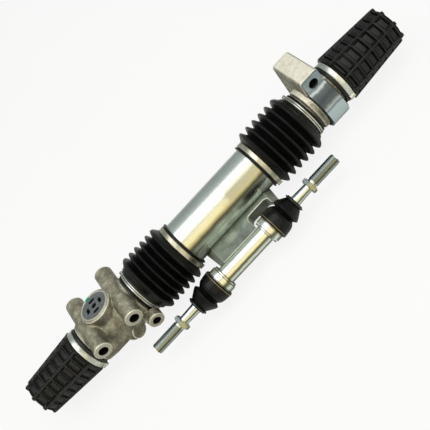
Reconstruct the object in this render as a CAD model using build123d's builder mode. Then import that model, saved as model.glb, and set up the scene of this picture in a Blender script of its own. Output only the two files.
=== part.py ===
"""Manual rack and pinion steering gear with a centre take-off.

A sleeve slides on a slotted tube between two castings and is driven by the rack inside.
A bracket on the sleeve carries a tube with a ball joint at each end, for the two tie rods.

The origin is the axis of the inner left mounting hole, halfway through its boss. +X runs
along the rack to the right, +Y towards the panel that the gear bolts to, and +Z is up.
Stations along the rack are measured from the middle of the sleeve. Millimetres.
"""
import os
from math import acos, cos, pi, radians, sin, tan

from build123d import *

# Where the rack lies from the origin
SLEEVE_X = 160.0
RACK_Z = -23.0

# Rack, pinion and their teeth
RACK_R = 13.0
RACK_LEFT = -SLEEVE_X - 98.0
RACK_RIGHT = 238.0
TRAVEL = 38.0
PINION_X = -SLEEVE_X - 27.5
PINION_TILT = radians(25.0)
YOKE_ROLL = radians(7.0)
PINION_TEETH = 8
PITCH_R = 8.0
PRESSURE_ANGLE = radians(25.0)
PINION_ADDENDUM = 2.2
RACK_ADDENDUM = 1.4
TIP_CLEARANCE = 0.35
PINION_TOOTH = 3.6
BACKLASH = 0.15
RACK_FLAT = 9.5
PINION_FACE = 24.0

# Pinion shaft, its bearings and seal, measured along its own axis from the gear's middle
JOURNAL_R = 6.0
SHAFT_R = 8.0
FRONT_BUSH_R = 8.0
FRONT_BUSH_LENGTH = 12.0
FRONT_WALL = 8.0
BEARING_R = 17.5
BEARING_START = 21.0
BEARING_WIDTH = 12.0
BEARING_BALL_R = 3.0
BEARING_BALLS = 8
SEAL_WIDTH = 6.0
RETAINER_WIDTH = 5.0
SPLINE_R = 8.7
SPLINE_ROOT_R = 7.9
SPLINE_COUNT = 24
SPLINE_LENGTH = 24.0
SHAFT_END = 76.0

# Yoke that presses the rack on the pinion, measured out from the rack's axis
YOKE_RIM = 37.0
YOKE_TOWER_R = 23.0
YOKE_RIM_R = 19.8
PLUG_HEAD_R = 18.2
PLUG_BODY_R = 16.6
PLUG_SLOT_LENGTH = 9.5
PLUG_SLOT_WIDTH = 4.6
PLUG_SLOT_DEPTH = 5.0
PLUG_TOP = 36.2
PLUG_SHOULDER = 31.5
PLUG_BOTTOM = 26.0
PLUNGER_R = 14.4
PLUNGER_TOP = 23.0
SPRING_SEAT = 14.0
SPRING_R = 7.2
SPRING_WIRE_R = 1.5
SPRING_TURNS = 3

# Castings
CAST_BORE_R = 14.5
BODY_R = 31.0
NECK_R = 26.5
BOOT_NECK_R = 24.5
BEAD = 1.3
BODY_CROWN = 14.0
LEFT_BODY_LEFT = -SLEEVE_X - 67.0
LEFT_BODY_RIGHT = -SLEEVE_X + 12.0
LEFT_NECK_END = -SLEEVE_X + 33.0
LEFT_BOOT_NECK_END = -SLEEVE_X - 88.0
GUIDE_SEAT = 24.0
BARREL_R = 14.5
NOSE_R = 10.5
NOSE_LENGTH = 9.0
TOWER_R = 22.5

# Mounting bosses, whose holes run along Y
BOSS_R = 11.5
BOSS_FRONT = -46.0
BOSS_BACK = 45.0
BOLT_HOLE_R = 5.75
BOSS_SPACING = 52.0
LUG_STATION = -SLEEVE_X + 11.0
LUG_Z = -10.0
LUG_R = 10.3
LUG_FRONT = -44.0
LUG_DEPTH = 12.0
LUG_HOLE_R = 5.0

# Right casting, its foot and its strap
RIGHT_NECK_START = 127.0
RIGHT_BODY_LEFT = 152.0
SEAT_LEFT = 161.0
SEAT_RIGHT = 189.0
SEAT_R = 26.5
RIGHT_BOOT_NECK_END = 214.0
FOOT_LEFT = 161.5
FOOT_RIGHT = 188.5
FOOT_FRONT = -13.0
FOOT_TOP = 49.5
FOOT_BOTTOM = -2.0
FOOT_FILLET = 4.0
FOOT_DRAFT = 3.0
RACK_BUSH_INSET = 4.0
RACK_BUSH_LENGTH = 22.0
STRAP_WIDTH = 25.0
STRAP_THICKNESS = 2.5
STRAP_HOLE_Z = 38.0
STRAP_HOLE_R = 6.5

# Slotted tube, sliding sleeve and the block that joins sleeve and rack
GUIDE_R = 22.0
GUIDE_BORE_R = 18.0
SLOT_WIDTH = 13.8
SLEEVE_R = 30.0
SLEEVE_BORE_R = 27.0
SLEEVE_HALF = 76.0
BUSH_WIDTH = 14.0
BLOCK_LENGTH = 28.0
BLOCK_WIDTH = 13.0
BLOCK_BOLT_R = 4.0
BLOCK_BOLT_SPACING = 16.0
BOLT_HEAD_R = 6.2
BOLT_HEAD = 5.0

# Bellows between sleeve and castings
BELLOWS_CREST_R = 40.0
BELLOWS_ROOT_R = 32.0
BELLOWS_WALL = 1.6
BELLOWS_FOLDS = 6
CUFF_WALL = 2.3
CUFF_LIP = 62.0
BAND_MIDDLE = 68.5
BAND_WIDTH = 6.0
BAND_THICKNESS = 1.0
EAR_ANGLE = 225.0
LEFT_CLAMP = -SLEEVE_X + 19.5
RIGHT_CLAMP = 145.5
WIRE_R = 1.2
WIRE_GAP = 2.6

# Rubber boots over the ends of the rack
BOOT_WALL = 3.0
BOOT_CUFF_R = 28.0
BOOT_ROOT_R = 31.0
BOOT_TIP_R = 26.5
BOOT_RIB = 1.6
BOOT_RIBS = 6
LEFT_BOOT_END = -SLEEVE_X - 155.0
LEFT_BOOT_BAND = -SLEEVE_X - 76.0
RIGHT_BOOT_END = 291.5
RIGHT_BOOT_BAND = 200.0
BOOT_BAND_WIDTH = 7.0

# Tie rod carrier beside the sleeve
CARRIER_X = -20.5
CARRIER_Y = -70.0
CARRIER_DROP = -15.5
CARRIER_R = 11.5
SOCKET_R = 15.5
SOCKET_BODY_R = 16.8
SOCKET_INNER = 36.0
SOCKET_OUTER = 53.0
SOCKET_FLANGE = 2.0
SOCKET_GROOVE = 0.8
BALL_R = 9.5
BALL_CENTRE = 47.5
SEAT_WALL = 2.0
STUD_SWING = radians(21.0)
STUD_NECK_R = 5.6
STUD_COLLAR_R = 6.8
STUD_TAPER_R = 5.8
HEX_ACROSS = 19.0
HEX_START = 104.5
HEX_WIDTH = 6.0
THREAD_R = 7.0
THREAD_END = 150.5

# Dust boots of the ball joints
DUST_BASE = 47.5
DUST_BASE_R = 18.8
DUST_LIP = 2.5
DUST_WAIST = 16.0
DUST_FLARE = 19.5
DUST_WAIST_R = 14.8
DUST_FLARE_R = 17.8
DUST_NECK_R = 11.0
DUST_WALL = 1.6
DUST_END = 83.0
BASE_CLIP_WIRE_R = 0.9
NECK_CLIP_WIRE_R = 0.8

# Pressed bracket between sleeve and carrier
BRACKET_THICKNESS = 3.0
BRACKET_TOP = -10.0
BRACKET_DEPTH = 15.0
BRACKET_TOP_HALF = 45.0
BRACKET_FOOT_HALF = 56.0
BRACKET_FAR_TAPER = 6.0
NOTCH_START = 10.0
NOTCH_END = 44.0
NOTCH_DEPTH = -37.0
NOTCH_RADIUS = 6.0

# Clearances
RUNNING = 0.05
SNUG = 0.1
LOOSE = 0.3

SLEEVE_MIDDLE = (SLEEVE_X, 0, RACK_Z)
RACK_AXIS = Axis(SLEEVE_MIDDLE, (1, 0, 0))
PROFILE = Plane(origin=SLEEVE_MIDDLE, x_dir=(1, 0, 0), z_dir=(0, -1, 0))
YOKE_DIR = Vector(0, sin(YOKE_ROLL), cos(YOKE_ROLL))
YOKE = Plane(origin=(SLEEVE_X + PINION_X, 0, RACK_Z), x_dir=(1, 0, 0), z_dir=YOKE_DIR)
PINION_DROP = RACK_FLAT - RACK_ADDENDUM + PITCH_R
PINION_DIR = YOKE.x_dir * -sin(PINION_TILT) + YOKE.y_dir * cos(PINION_TILT)
ACROSS_TEETH = YOKE.x_dir * cos(PINION_TILT) + YOKE.y_dir * sin(PINION_TILT)
PINION = Plane(origin=YOKE.origin - YOKE_DIR * PINION_DROP, x_dir=ACROSS_TEETH, z_dir=PINION_DIR)
CARRIER_MIDDLE = (SLEEVE_X + CARRIER_X, CARRIER_Y, RACK_Z + CARRIER_DROP)


def across(station):
    """Plane square to the rack at a station, with x towards +Y and y up."""
    return Plane(origin=(SLEEVE_X + station, 0, RACK_Z), x_dir=(0, 1, 0), z_dir=(1, 0, 0))


def carrier_plane(side, station):
    """Plane square to the carrier at a distance out from its middle, looking outwards."""
    x, y, z = CARRIER_MIDDLE
    return Plane(origin=(x + side * station, y, z), x_dir=(0, 1, 0), z_dir=(side, 0, 0))


def carrier_profile(side):
    """Plane through the carrier's axis, with x outwards along it."""
    return Plane(origin=CARRIER_MIDDLE, x_dir=(side, 0, 0), z_dir=(0, -side, 0))


def boss_plane(station, height, y):
    """Plane facing the front, for what runs along Y, at a height over the rack's axis."""
    return Plane(origin=(SLEEVE_X + station, y, RACK_Z + height), x_dir=(1, 0, 0), z_dir=(0, -1, 0))


def keep(part, label):
    """Name a finished piece and write it."""
    part.label = label
    export_step(part, f"parts/{label}.step")


def turned(points, plane, axis):
    """Solid turned from a closed outline of (along, radius) points."""
    with BuildPart() as piece:
        with BuildSketch(plane):
            with BuildLine():
                Polyline(*points, close=True)
            make_face()
        revolve(axis=axis)
    return piece.part


def collar(start, end, inner, outer):
    """Outline of a plain ring."""
    return [(start, inner), (end, inner), (end, outer), (start, outer)]


os.makedirs("parts", exist_ok=True)
BOSS_Z = -RACK_Z
INNER_BOSS = -SLEEVE_X
OUTER_BOSS = INNER_BOSS - BOSS_SPACING
BEARING_END = BEARING_START + BEARING_WIDTH
SEAL_END = BEARING_END + SEAL_WIDTH
TOWER_END = SEAL_END + RETAINER_WIDTH
GEAR_HALF = PINION_FACE / 2
CHAMBER_HALF = GEAR_HALF + 1.0
BARREL_END = -(CHAMBER_HALF + FRONT_BUSH_LENGTH + FRONT_WALL)
TIP_R = PITCH_R + PINION_ADDENDUM
ROOT_R = PITCH_R - RACK_ADDENDUM - TIP_CLEARANCE
BASE_R = PITCH_R * cos(PRESSURE_ANGLE)
RACK_PITCH = 2 * pi * PITCH_R / PINION_TEETH

# Left casting: body, necks, mounting bosses, yoke tower and pinion barrel
BODY_OUTLINE = [
    (LEFT_BOOT_NECK_END, 0),
    (LEFT_BOOT_NECK_END, BOOT_NECK_R),
    (LEFT_BOOT_NECK_END + 2, BOOT_NECK_R + BEAD),
    (LEFT_BOOT_NECK_END + 5, BOOT_NECK_R),
    (LEFT_BODY_LEFT, BOOT_NECK_R),
    (LEFT_BODY_LEFT, BODY_R - 1.5),
    (LEFT_BODY_LEFT + BODY_CROWN, BODY_R),
    (LEFT_BODY_RIGHT - BODY_CROWN, BODY_R),
    (LEFT_BODY_RIGHT, BODY_R - 1),
    (LEFT_BODY_RIGHT + 2, NECK_R),
    (LEFT_NECK_END - 5, NECK_R),
    (LEFT_NECK_END - 2, NECK_R + BEAD),
    (LEFT_NECK_END, NECK_R),
    (LEFT_NECK_END, 0),
]
with BuildPart() as pinion_housing:
    with BuildSketch(PROFILE):
        with BuildLine():
            Polyline(*BODY_OUTLINE, close=True)
        make_face()
    revolve(axis=RACK_AXIS)
    for station in (INNER_BOSS, OUTER_BOSS):
        with BuildSketch(boss_plane(station, BOSS_Z, BOSS_FRONT)):
            Circle(BOSS_R)
        extrude(amount=BOSS_FRONT - BOSS_BACK)
        with BuildSketch(Plane.YZ.offset(SLEEVE_X + station - BOSS_R / 2)):
            with BuildLine():
                Polyline(
                    (BOSS_FRONT + 6, RACK_Z + BOSS_Z),
                    (-BODY_R * 0.8, RACK_Z),
                    (BODY_R * 0.8, RACK_Z),
                    (BOSS_BACK - 6, RACK_Z + BOSS_Z),
                    close=True,
                )
            make_face()
        extrude(amount=BOSS_R)
    with BuildSketch(boss_plane(LUG_STATION, LUG_Z, LUG_FRONT)):
        Circle(LUG_R)
    extrude(amount=-LUG_DEPTH)
    with BuildSketch(boss_plane(LUG_STATION - LUG_R / 2, LUG_Z, LUG_FRONT + 3)):
        Rectangle(LUG_R, 1.7 * LUG_R)
    extrude(amount=LUG_FRONT + 3)
    with BuildSketch(YOKE):
        Circle(YOKE_TOWER_R)
    extrude(amount=YOKE_RIM - 1.5)
    with BuildSketch(YOKE.offset(YOKE_RIM - 1.5)):
        Circle(YOKE_RIM_R + 1)
    extrude(amount=1.5, taper=20)
    with BuildSketch(PINION.offset(BARREL_END)):
        Circle(NOSE_R)
    extrude(amount=NOSE_LENGTH)
    with BuildSketch(PINION.offset(BARREL_END + NOSE_LENGTH)):
        Circle(BARREL_R)
    extrude(amount=-BARREL_END - NOSE_LENGTH)
    with BuildSketch(PINION):
        Circle(TOWER_R)
    extrude(amount=TOWER_END)
    with BuildSketch(across(LEFT_BOOT_NECK_END)):
        Circle(CAST_BORE_R)
    extrude(amount=LEFT_NECK_END - LEFT_BOOT_NECK_END, mode=Mode.SUBTRACT)
    with BuildSketch(across(LEFT_NECK_END)):
        Circle(GUIDE_R)
    extrude(amount=-GUIDE_SEAT, mode=Mode.SUBTRACT)
    for station in (INNER_BOSS, OUTER_BOSS):
        with BuildSketch(boss_plane(station, BOSS_Z, BOSS_FRONT)):
            Circle(BOLT_HOLE_R)
        extrude(amount=BOSS_FRONT - BOSS_BACK, mode=Mode.SUBTRACT)
    with BuildSketch(boss_plane(LUG_STATION, LUG_Z, LUG_FRONT)):
        Circle(LUG_HOLE_R)
    extrude(amount=-LUG_DEPTH - 2, mode=Mode.SUBTRACT)
    with BuildSketch(YOKE):
        Circle(PLUNGER_R + RUNNING)
    extrude(amount=YOKE_RIM, mode=Mode.SUBTRACT)
    with BuildSketch(YOKE.offset(PLUG_BOTTOM)):
        Circle(PLUG_BODY_R + RUNNING)
    extrude(amount=YOKE_RIM - PLUG_BOTTOM, mode=Mode.SUBTRACT)
    with BuildSketch(YOKE.offset(PLUG_SHOULDER)):
        Circle(PLUG_HEAD_R + RUNNING)
    extrude(amount=YOKE_RIM - PLUG_SHOULDER, mode=Mode.SUBTRACT)
    with BuildSketch(PINION.offset(BARREL_END + FRONT_WALL)):
        Circle(FRONT_BUSH_R)
    extrude(amount=FRONT_BUSH_LENGTH, mode=Mode.SUBTRACT)
    with BuildSketch(PINION.offset(-CHAMBER_HALF)):
        Circle(TIP_R + 1)
    extrude(amount=BEARING_START + CHAMBER_HALF, mode=Mode.SUBTRACT)
    with BuildSketch(PINION.offset(BEARING_START)):
        Circle(BEARING_R)
    extrude(amount=TOWER_END - BEARING_START, mode=Mode.SUBTRACT)
keep(pinion_housing.part, "pinion_housing")

# Yoke: plunger with a saddle for the rack's back, spring, and the slotted plug
with BuildPart() as yoke_plunger:
    with BuildSketch(YOKE):
        Circle(PLUNGER_R)
    extrude(amount=PLUNGER_TOP)
    with BuildSketch(YOKE.offset(SPRING_SEAT)):
        Circle(SPRING_R + SPRING_WIRE_R + LOOSE)
    extrude(amount=PLUNGER_TOP - SPRING_SEAT, mode=Mode.SUBTRACT)
    with BuildSketch(across(PINION_X - PLUNGER_R)):
        Circle(RACK_R + RUNNING)
    extrude(amount=2 * PLUNGER_R, mode=Mode.SUBTRACT)
    split(bisect_by=YOKE.offset(RACK_R / 2), keep=Keep.TOP)
keep(yoke_plunger.part, "yoke_plunger")

SPRING_LENGTH = PLUG_BOTTOM - SPRING_SEAT - 2 * SPRING_WIRE_R - 0.1
with BuildPart() as yoke_spring:
    with BuildLine() as coil:
        Helix(
            pitch=SPRING_LENGTH / SPRING_TURNS,
            height=SPRING_LENGTH,
            radius=SPRING_R,
            center=YOKE.offset(SPRING_SEAT + SPRING_WIRE_R + 0.05).origin,
            direction=YOKE_DIR,
        )
    with BuildSketch(Plane(origin=coil.line @ 0, z_dir=coil.line % 0)):
        Circle(SPRING_WIRE_R)
    sweep(path=coil.line, is_frenet=True)
keep(yoke_spring.part, "yoke_spring")

with BuildPart() as yoke_plug:
    with BuildSketch(YOKE.offset(PLUG_BOTTOM)):
        Circle(PLUG_BODY_R)
    extrude(amount=PLUG_TOP - PLUG_BOTTOM)
    with BuildSketch(YOKE.offset(PLUG_SHOULDER)):
        Circle(PLUG_HEAD_R)
    extrude(amount=PLUG_TOP - PLUG_SHOULDER)
    with BuildSketch(YOKE.offset(PLUG_TOP)):
        Circle(PLUG_HEAD_R * 0.2)
        with PolarLocations(PLUG_HEAD_R * 0.53, 4):
            SlotOverall(PLUG_SLOT_LENGTH, PLUG_SLOT_WIDTH, rotation=90)
    extrude(amount=-PLUG_SLOT_DEPTH, mode=Mode.SUBTRACT)
keep(yoke_plug.part, "yoke_plug")


def involute(radius):
    """Half the angle that a pinion tooth spans at a radius."""
    def spread(angle):
        return tan(angle) - angle

    angle = acos(min(1, BASE_R / radius))
    return PINION_TOOTH / (2 * PITCH_R) + spread(PRESSURE_ANGLE) - spread(angle)


FLANK_STEPS = 5
TOOTH_FLANK = [(ROOT_R, involute(BASE_R))]
for step in range(FLANK_STEPS + 1):
    flank_radius = BASE_R + (TIP_R - BASE_R) * (step / FLANK_STEPS)
    TOOTH_FLANK.append((flank_radius, involute(flank_radius)))


def polar(radius, angle):
    """Point of the pinion's section, where a tooth at angle 0 points at the rack."""
    return (radius * sin(angle), -radius * cos(angle))


def pinion_outline():
    """The pinion's teeth, tooth after tooth, as one closed outline."""
    points = []
    for tooth in range(PINION_TEETH):
        middle = 2 * pi * tooth / PINION_TEETH
        points += [polar(r, middle - half) for r, half in TOOTH_FLANK]
        points += [polar(r, middle + half) for r, half in reversed(TOOTH_FLANK)]
    return points


with BuildPart() as pinion_shaft:
    with BuildSketch(PINION.offset(-GEAR_HALF)):
        with BuildLine():
            Polyline(*pinion_outline(), close=True)
        make_face()
    extrude(amount=PINION_FACE)
    with BuildSketch(PINION.offset(BARREL_END + FRONT_WALL + 1)):
        Circle(JOURNAL_R)
    extrude(amount=FRONT_BUSH_LENGTH)
    with BuildSketch(PINION.offset(-CHAMBER_HALF)):
        Circle(ROOT_R)
    extrude(amount=2 * CHAMBER_HALF)
    with BuildSketch(PINION.offset(GEAR_HALF)):
        Circle(SHAFT_R)
    extrude(amount=SHAFT_END - GEAR_HALF)
    with BuildSketch(PINION.offset(SHAFT_END - SPLINE_LENGTH)):
        with BuildLine():
            Polyline(
                *[
                    ((SPLINE_R if i % 2 else SPLINE_ROOT_R) * cos(pi * i / SPLINE_COUNT),
                     (SPLINE_R if i % 2 else SPLINE_ROOT_R) * sin(pi * i / SPLINE_COUNT))
                    for i in range(2 * SPLINE_COUNT)
                ],
                close=True,
            )
        make_face()
    extrude(amount=SPLINE_LENGTH)
keep(pinion_shaft.part, "pinion_shaft")

PINION_AXIS = Axis(PINION.origin, PINION.z_dir)
PINION_PROFILE = Plane(origin=PINION.origin, x_dir=PINION.z_dir, z_dir=PINION.y_dir)
BUSH_START = BARREL_END + FRONT_WALL + 0.5
keep(turned(collar(BUSH_START, BUSH_START + FRONT_BUSH_LENGTH - 1, JOURNAL_R + RUNNING, FRONT_BUSH_R),
            PINION_PROFILE, PINION_AXIS), "pinion_front_bush")

# Ball bearing at the input side, held by a screwed ring outside the seal
RACE_MIDDLE_R = (SHAFT_R + BEARING_R) / 2
RACE_GAP = BEARING_BALL_R * 0.55


def race(inner, outer, groove_side):
    """Bearing ring with a ball groove on its open side."""
    with BuildPart() as ring:
        with BuildSketch(PINION.offset(BEARING_START)):
            Circle(outer)
            Circle(inner, mode=Mode.SUBTRACT)
        extrude(amount=BEARING_WIDTH)
        with BuildSketch(PINION_PROFILE):
            with Locations((BEARING_START + BEARING_WIDTH / 2, groove_side)):
                Circle(BEARING_BALL_R + RUNNING)
        revolve(axis=PINION_AXIS, mode=Mode.SUBTRACT)
    return ring.part


keep(race(RACE_MIDDLE_R + RACE_GAP, BEARING_R, RACE_MIDDLE_R), "bearing_outer_ring")
keep(race(SHAFT_R, RACE_MIDDLE_R - RACE_GAP, RACE_MIDDLE_R), "bearing_inner_ring")

with BuildPart() as bearing_balls:
    with Locations(PINION.offset(BEARING_START + BEARING_WIDTH / 2)):
        with PolarLocations(RACE_MIDDLE_R, BEARING_BALLS):
            Sphere(BEARING_BALL_R)
keep(bearing_balls.part, "bearing_balls")

SEAL_OUTLINE = [
    (BEARING_END, BEARING_R),
    (BEARING_END, SHAFT_R + 3),
    (BEARING_END + 2, SHAFT_R + LOOSE),
    (BEARING_END + 3.5, SHAFT_R + LOOSE),
    (SEAL_END, SHAFT_R + 4),
    (SEAL_END, BEARING_R),
]
keep(turned(SEAL_OUTLINE, PINION_PROFILE, PINION_AXIS), "pinion_seal")
with BuildPart() as seal_retainer:
    with BuildSketch(PINION.offset(SEAL_END)):
        Circle(BEARING_R)
        Circle(SHAFT_R + 3, mode=Mode.SUBTRACT)
    extrude(amount=RETAINER_WIDTH - 1)
    with BuildSketch(PINION.offset(SEAL_END + RETAINER_WIDTH - 1)):
        with PolarLocations(BEARING_R - 3, 4):
            Circle(1.6)
    extrude(amount=-2.5, mode=Mode.SUBTRACT)
keep(seal_retainer.part, "seal_retainer")

# Rack bar with teeth parallel to the tilted pinion and two threaded holes for the block
RACK_GAP_HALF = (PINION_TOOTH + BACKLASH) / 2
GAP_SLOPE = tan(PRESSURE_ANGLE)
PITCH_LINE = -PITCH_R
TIP_LINE = PITCH_LINE + RACK_ADDENDUM
ROOT_LINE = PITCH_LINE - PINION_ADDENDUM - TIP_CLEARANCE
SIDE_GAPS = int((TRAVEL * cos(PINION_TILT) + TIP_R) / RACK_PITCH) + 1


def gap_half(depth):
    """Half the width of a gap between rack teeth at a height in the pinion's section."""
    return RACK_GAP_HALF + (depth - PITCH_LINE) * GAP_SLOPE


with BuildPart() as rack_bar:
    with BuildSketch(across(RACK_LEFT)):
        Circle(RACK_R)
    extrude(amount=RACK_RIGHT - RACK_LEFT)
    chamfer(rack_bar.edges().filter_by(GeomType.CIRCLE), 1.5)
    with BuildSketch(PINION):
        with BuildLine():
            COMB_END = (SIDE_GAPS + 0.5) * RACK_PITCH
            comb = [(-COMB_END, RACK_R), (-COMB_END, TIP_LINE)]
            for gap in range(-SIDE_GAPS, SIDE_GAPS + 1):
                middle = gap * RACK_PITCH
                comb += [
                    (middle - gap_half(TIP_LINE), TIP_LINE),
                    (middle - gap_half(ROOT_LINE), ROOT_LINE),
                    (middle + gap_half(ROOT_LINE), ROOT_LINE),
                    (middle + gap_half(TIP_LINE), TIP_LINE),
                ]
            comb += [(COMB_END, TIP_LINE), (COMB_END, RACK_R)]
            Polyline(*comb, close=True)
        make_face()
    extrude(amount=COMB_END * tan(PINION_TILT) + 2 * RACK_R, both=True, mode=Mode.SUBTRACT)
    with BuildSketch(Plane(origin=(SLEEVE_X, 0, RACK_Z - RACK_R), x_dir=(1, 0, 0), z_dir=(0, 0, 1))):
        Rectangle(BLOCK_LENGTH + LOOSE, 2 * RACK_R)
    extrude(amount=2, mode=Mode.SUBTRACT)
    with BuildSketch(Plane(origin=(SLEEVE_X, 0, RACK_Z - RACK_R), x_dir=(1, 0, 0), z_dir=(0, 0, 1))):
        with GridLocations(BLOCK_BOLT_SPACING, 1, 2, 1):
            Circle(BLOCK_BOLT_R)
    extrude(amount=1.5 * RACK_R, mode=Mode.SUBTRACT)
keep(rack_bar.part, "rack_bar")

# Slotted guide tube, pressed into both castings
GUIDE_LEFT = LEFT_NECK_END - GUIDE_SEAT
GUIDE_RIGHT = RIGHT_NECK_START + GUIDE_SEAT
SLOT_HALF = TRAVEL + (BLOCK_LENGTH + SLOT_WIDTH) / 2 + LOOSE
with BuildPart() as guide_tube:
    with BuildSketch(across(GUIDE_LEFT)):
        Circle(GUIDE_R)
        Circle(GUIDE_BORE_R, mode=Mode.SUBTRACT)
    extrude(amount=GUIDE_RIGHT - GUIDE_LEFT)
    with BuildSketch(Plane.XY.offset(RACK_Z)):
        with Locations((SLEEVE_X, 0)):
            SlotOverall(2 * SLOT_HALF, SLOT_WIDTH)
    extrude(amount=-GUIDE_R - 1, mode=Mode.SUBTRACT)
keep(guide_tube.part, "guide_tube")

# Sleeve with two bushes that run on the guide tube
BLOCK_TOP = RACK_R - 2
DRIVE_PLANE = Plane(origin=(SLEEVE_X, 0, RACK_Z - SLEEVE_R), x_dir=(1, 0, 0), z_dir=(0, 0, 1))
with BuildPart() as sliding_sleeve:
    with BuildSketch(across(-SLEEVE_HALF)):
        Circle(SLEEVE_R)
        Circle(SLEEVE_BORE_R, mode=Mode.SUBTRACT)
    extrude(amount=2 * SLEEVE_HALF)
    with BuildSketch(DRIVE_PLANE.offset(-1)):
        with GridLocations(BLOCK_BOLT_SPACING, 1, 2, 1):
            Circle(BLOCK_BOLT_R + LOOSE)
    extrude(amount=SLEEVE_R / 2, mode=Mode.SUBTRACT)
keep(sliding_sleeve.part, "sliding_sleeve")

for side, label in ((-1, "left_guide_bush"), (1, "right_guide_bush")):
    outline = collar(side * (SLEEVE_HALF - 2), side * (SLEEVE_HALF - 2 - BUSH_WIDTH), GUIDE_R + RUNNING,
                     SLEEVE_BORE_R)
    keep(turned(outline, PROFILE, RACK_AXIS), label)

with BuildPart() as drive_block:
    with BuildSketch(Plane.XY.offset(RACK_Z - BLOCK_TOP)):
        with Locations((SLEEVE_X, 0)):
            Rectangle(BLOCK_LENGTH, BLOCK_WIDTH)
            with GridLocations(BLOCK_BOLT_SPACING, 1, 2, 1):
                Circle(BLOCK_BOLT_R + LOOSE, mode=Mode.SUBTRACT)
    extrude(amount=-(SLEEVE_R - BLOCK_TOP))
    with BuildSketch(across(-BLOCK_LENGTH)):
        Circle(SLEEVE_BORE_R - SNUG)
    extrude(amount=2 * BLOCK_LENGTH, mode=Mode.INTERSECT)
keep(drive_block.part, "drive_block")

with BuildPart() as drive_bolts:
    with BuildSketch(DRIVE_PLANE):
        with GridLocations(BLOCK_BOLT_SPACING, 1, 2, 1):
            RegularPolygon(BOLT_HEAD_R, 6, major_radius=False)
    extrude(amount=-BOLT_HEAD)
    with BuildSketch(DRIVE_PLANE):
        with GridLocations(BLOCK_BOLT_SPACING, 1, 2, 1):
            Circle(BLOCK_BOLT_R - RUNNING)
    extrude(amount=SLEEVE_R)
keep(drive_bolts.part, "drive_bolts")

# Right casting: tube, foot with its bolt hole, and seats for rubber and boot
SUPPORT_OUTLINE = [
    (RIGHT_NECK_START, 0),
    (RIGHT_NECK_START, NECK_R),
    (RIGHT_NECK_START + 2, NECK_R + BEAD),
    (RIGHT_NECK_START + 5, NECK_R),
    (RIGHT_BODY_LEFT, NECK_R),
    (RIGHT_BODY_LEFT + 2, BODY_R - 1),
    (SEAT_LEFT, BODY_R - 1),
    (SEAT_LEFT, SEAT_R),
    (SEAT_RIGHT, SEAT_R),
    (SEAT_RIGHT, BOOT_NECK_R),
    (RIGHT_BOOT_NECK_END - 5, BOOT_NECK_R),
    (RIGHT_BOOT_NECK_END - 2, BOOT_NECK_R + BEAD),
    (RIGHT_BOOT_NECK_END, BOOT_NECK_R),
    (RIGHT_BOOT_NECK_END, 0),
]
FOOT_MIDDLE = (FOOT_LEFT + FOOT_RIGHT) / 2
FOOT_WIDTH = FOOT_RIGHT - FOOT_LEFT
with BuildPart() as support_housing:
    with BuildSketch(boss_plane(FOOT_MIDDLE, 0, FOOT_FRONT)):
        with BuildLine():
            Polyline(
                (-FOOT_WIDTH / 2, FOOT_TOP),
                (FOOT_WIDTH / 2, FOOT_TOP),
                (FOOT_WIDTH / 2, FOOT_BOTTOM),
                (-FOOT_WIDTH / 2 - FOOT_DRAFT, FOOT_BOTTOM),
                close=True,
            )
        make_face()
        fillet(vertices(), FOOT_FILLET)
    extrude(amount=FOOT_FRONT - BOSS_BACK)
    fillet(support_housing.faces().sort_by(Axis.Y)[-1].edges(), 2)
    with BuildSketch(PROFILE):
        with BuildLine():
            Polyline(*SUPPORT_OUTLINE, close=True)
        make_face()
    revolve(axis=RACK_AXIS)
    with BuildSketch(across(RIGHT_NECK_START)):
        Circle(GUIDE_R)
    extrude(amount=GUIDE_SEAT, mode=Mode.SUBTRACT)
    with BuildSketch(across(RIGHT_NECK_START)):
        Circle(GUIDE_BORE_R)
    extrude(amount=RIGHT_BOOT_NECK_END - RIGHT_NECK_START, mode=Mode.SUBTRACT)
    with BuildSketch(boss_plane(FOOT_MIDDLE, STRAP_HOLE_Z, FOOT_FRONT)):
        Circle(STRAP_HOLE_R)
    extrude(amount=FOOT_FRONT - BOSS_BACK, mode=Mode.SUBTRACT)
keep(support_housing.part, "support_housing")

BUSH_LEFT = GUIDE_RIGHT + RACK_BUSH_INSET
RACK_BUSH = collar(BUSH_LEFT, BUSH_LEFT + RACK_BUSH_LENGTH, RACK_R + RUNNING, GUIDE_BORE_R)
keep(turned(RACK_BUSH, PROFILE, RACK_AXIS), "rack_bush")

# Strap round the right casting, by its inner line: down the foot, round the rubber and up behind
STRAP_FRONT = FOOT_FRONT - LOOSE / 3
STRAP_LINE = [
    (STRAP_FRONT, FOOT_TOP - 1.5),
    (STRAP_FRONT, 28),
    (-30.5, 12),
    (-32.5, -12),
    (-16, -31),
    (6, -32),
    (25, -23),
    (31, -9),
]
STRAP_BENDS = [2, 5, 15, 14, 10, 8]
with BuildPart() as mounting_strap:
    with BuildSketch(across(FOOT_MIDDLE - STRAP_WIDTH / 2)):
        with BuildLine():
            FilletPolyline(*STRAP_LINE, radius=STRAP_BENDS)
            offset(amount=STRAP_THICKNESS, side=Side.RIGHT)
        make_face()
    extrude(amount=STRAP_WIDTH)
    with BuildSketch(boss_plane(FOOT_MIDDLE, STRAP_HOLE_Z, STRAP_FRONT - STRAP_THICKNESS - 1)):
        Circle(STRAP_HOLE_R)
    extrude(amount=-STRAP_THICKNESS - 2, mode=Mode.SUBTRACT)
keep(mounting_strap.part, "mounting_strap")

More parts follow.
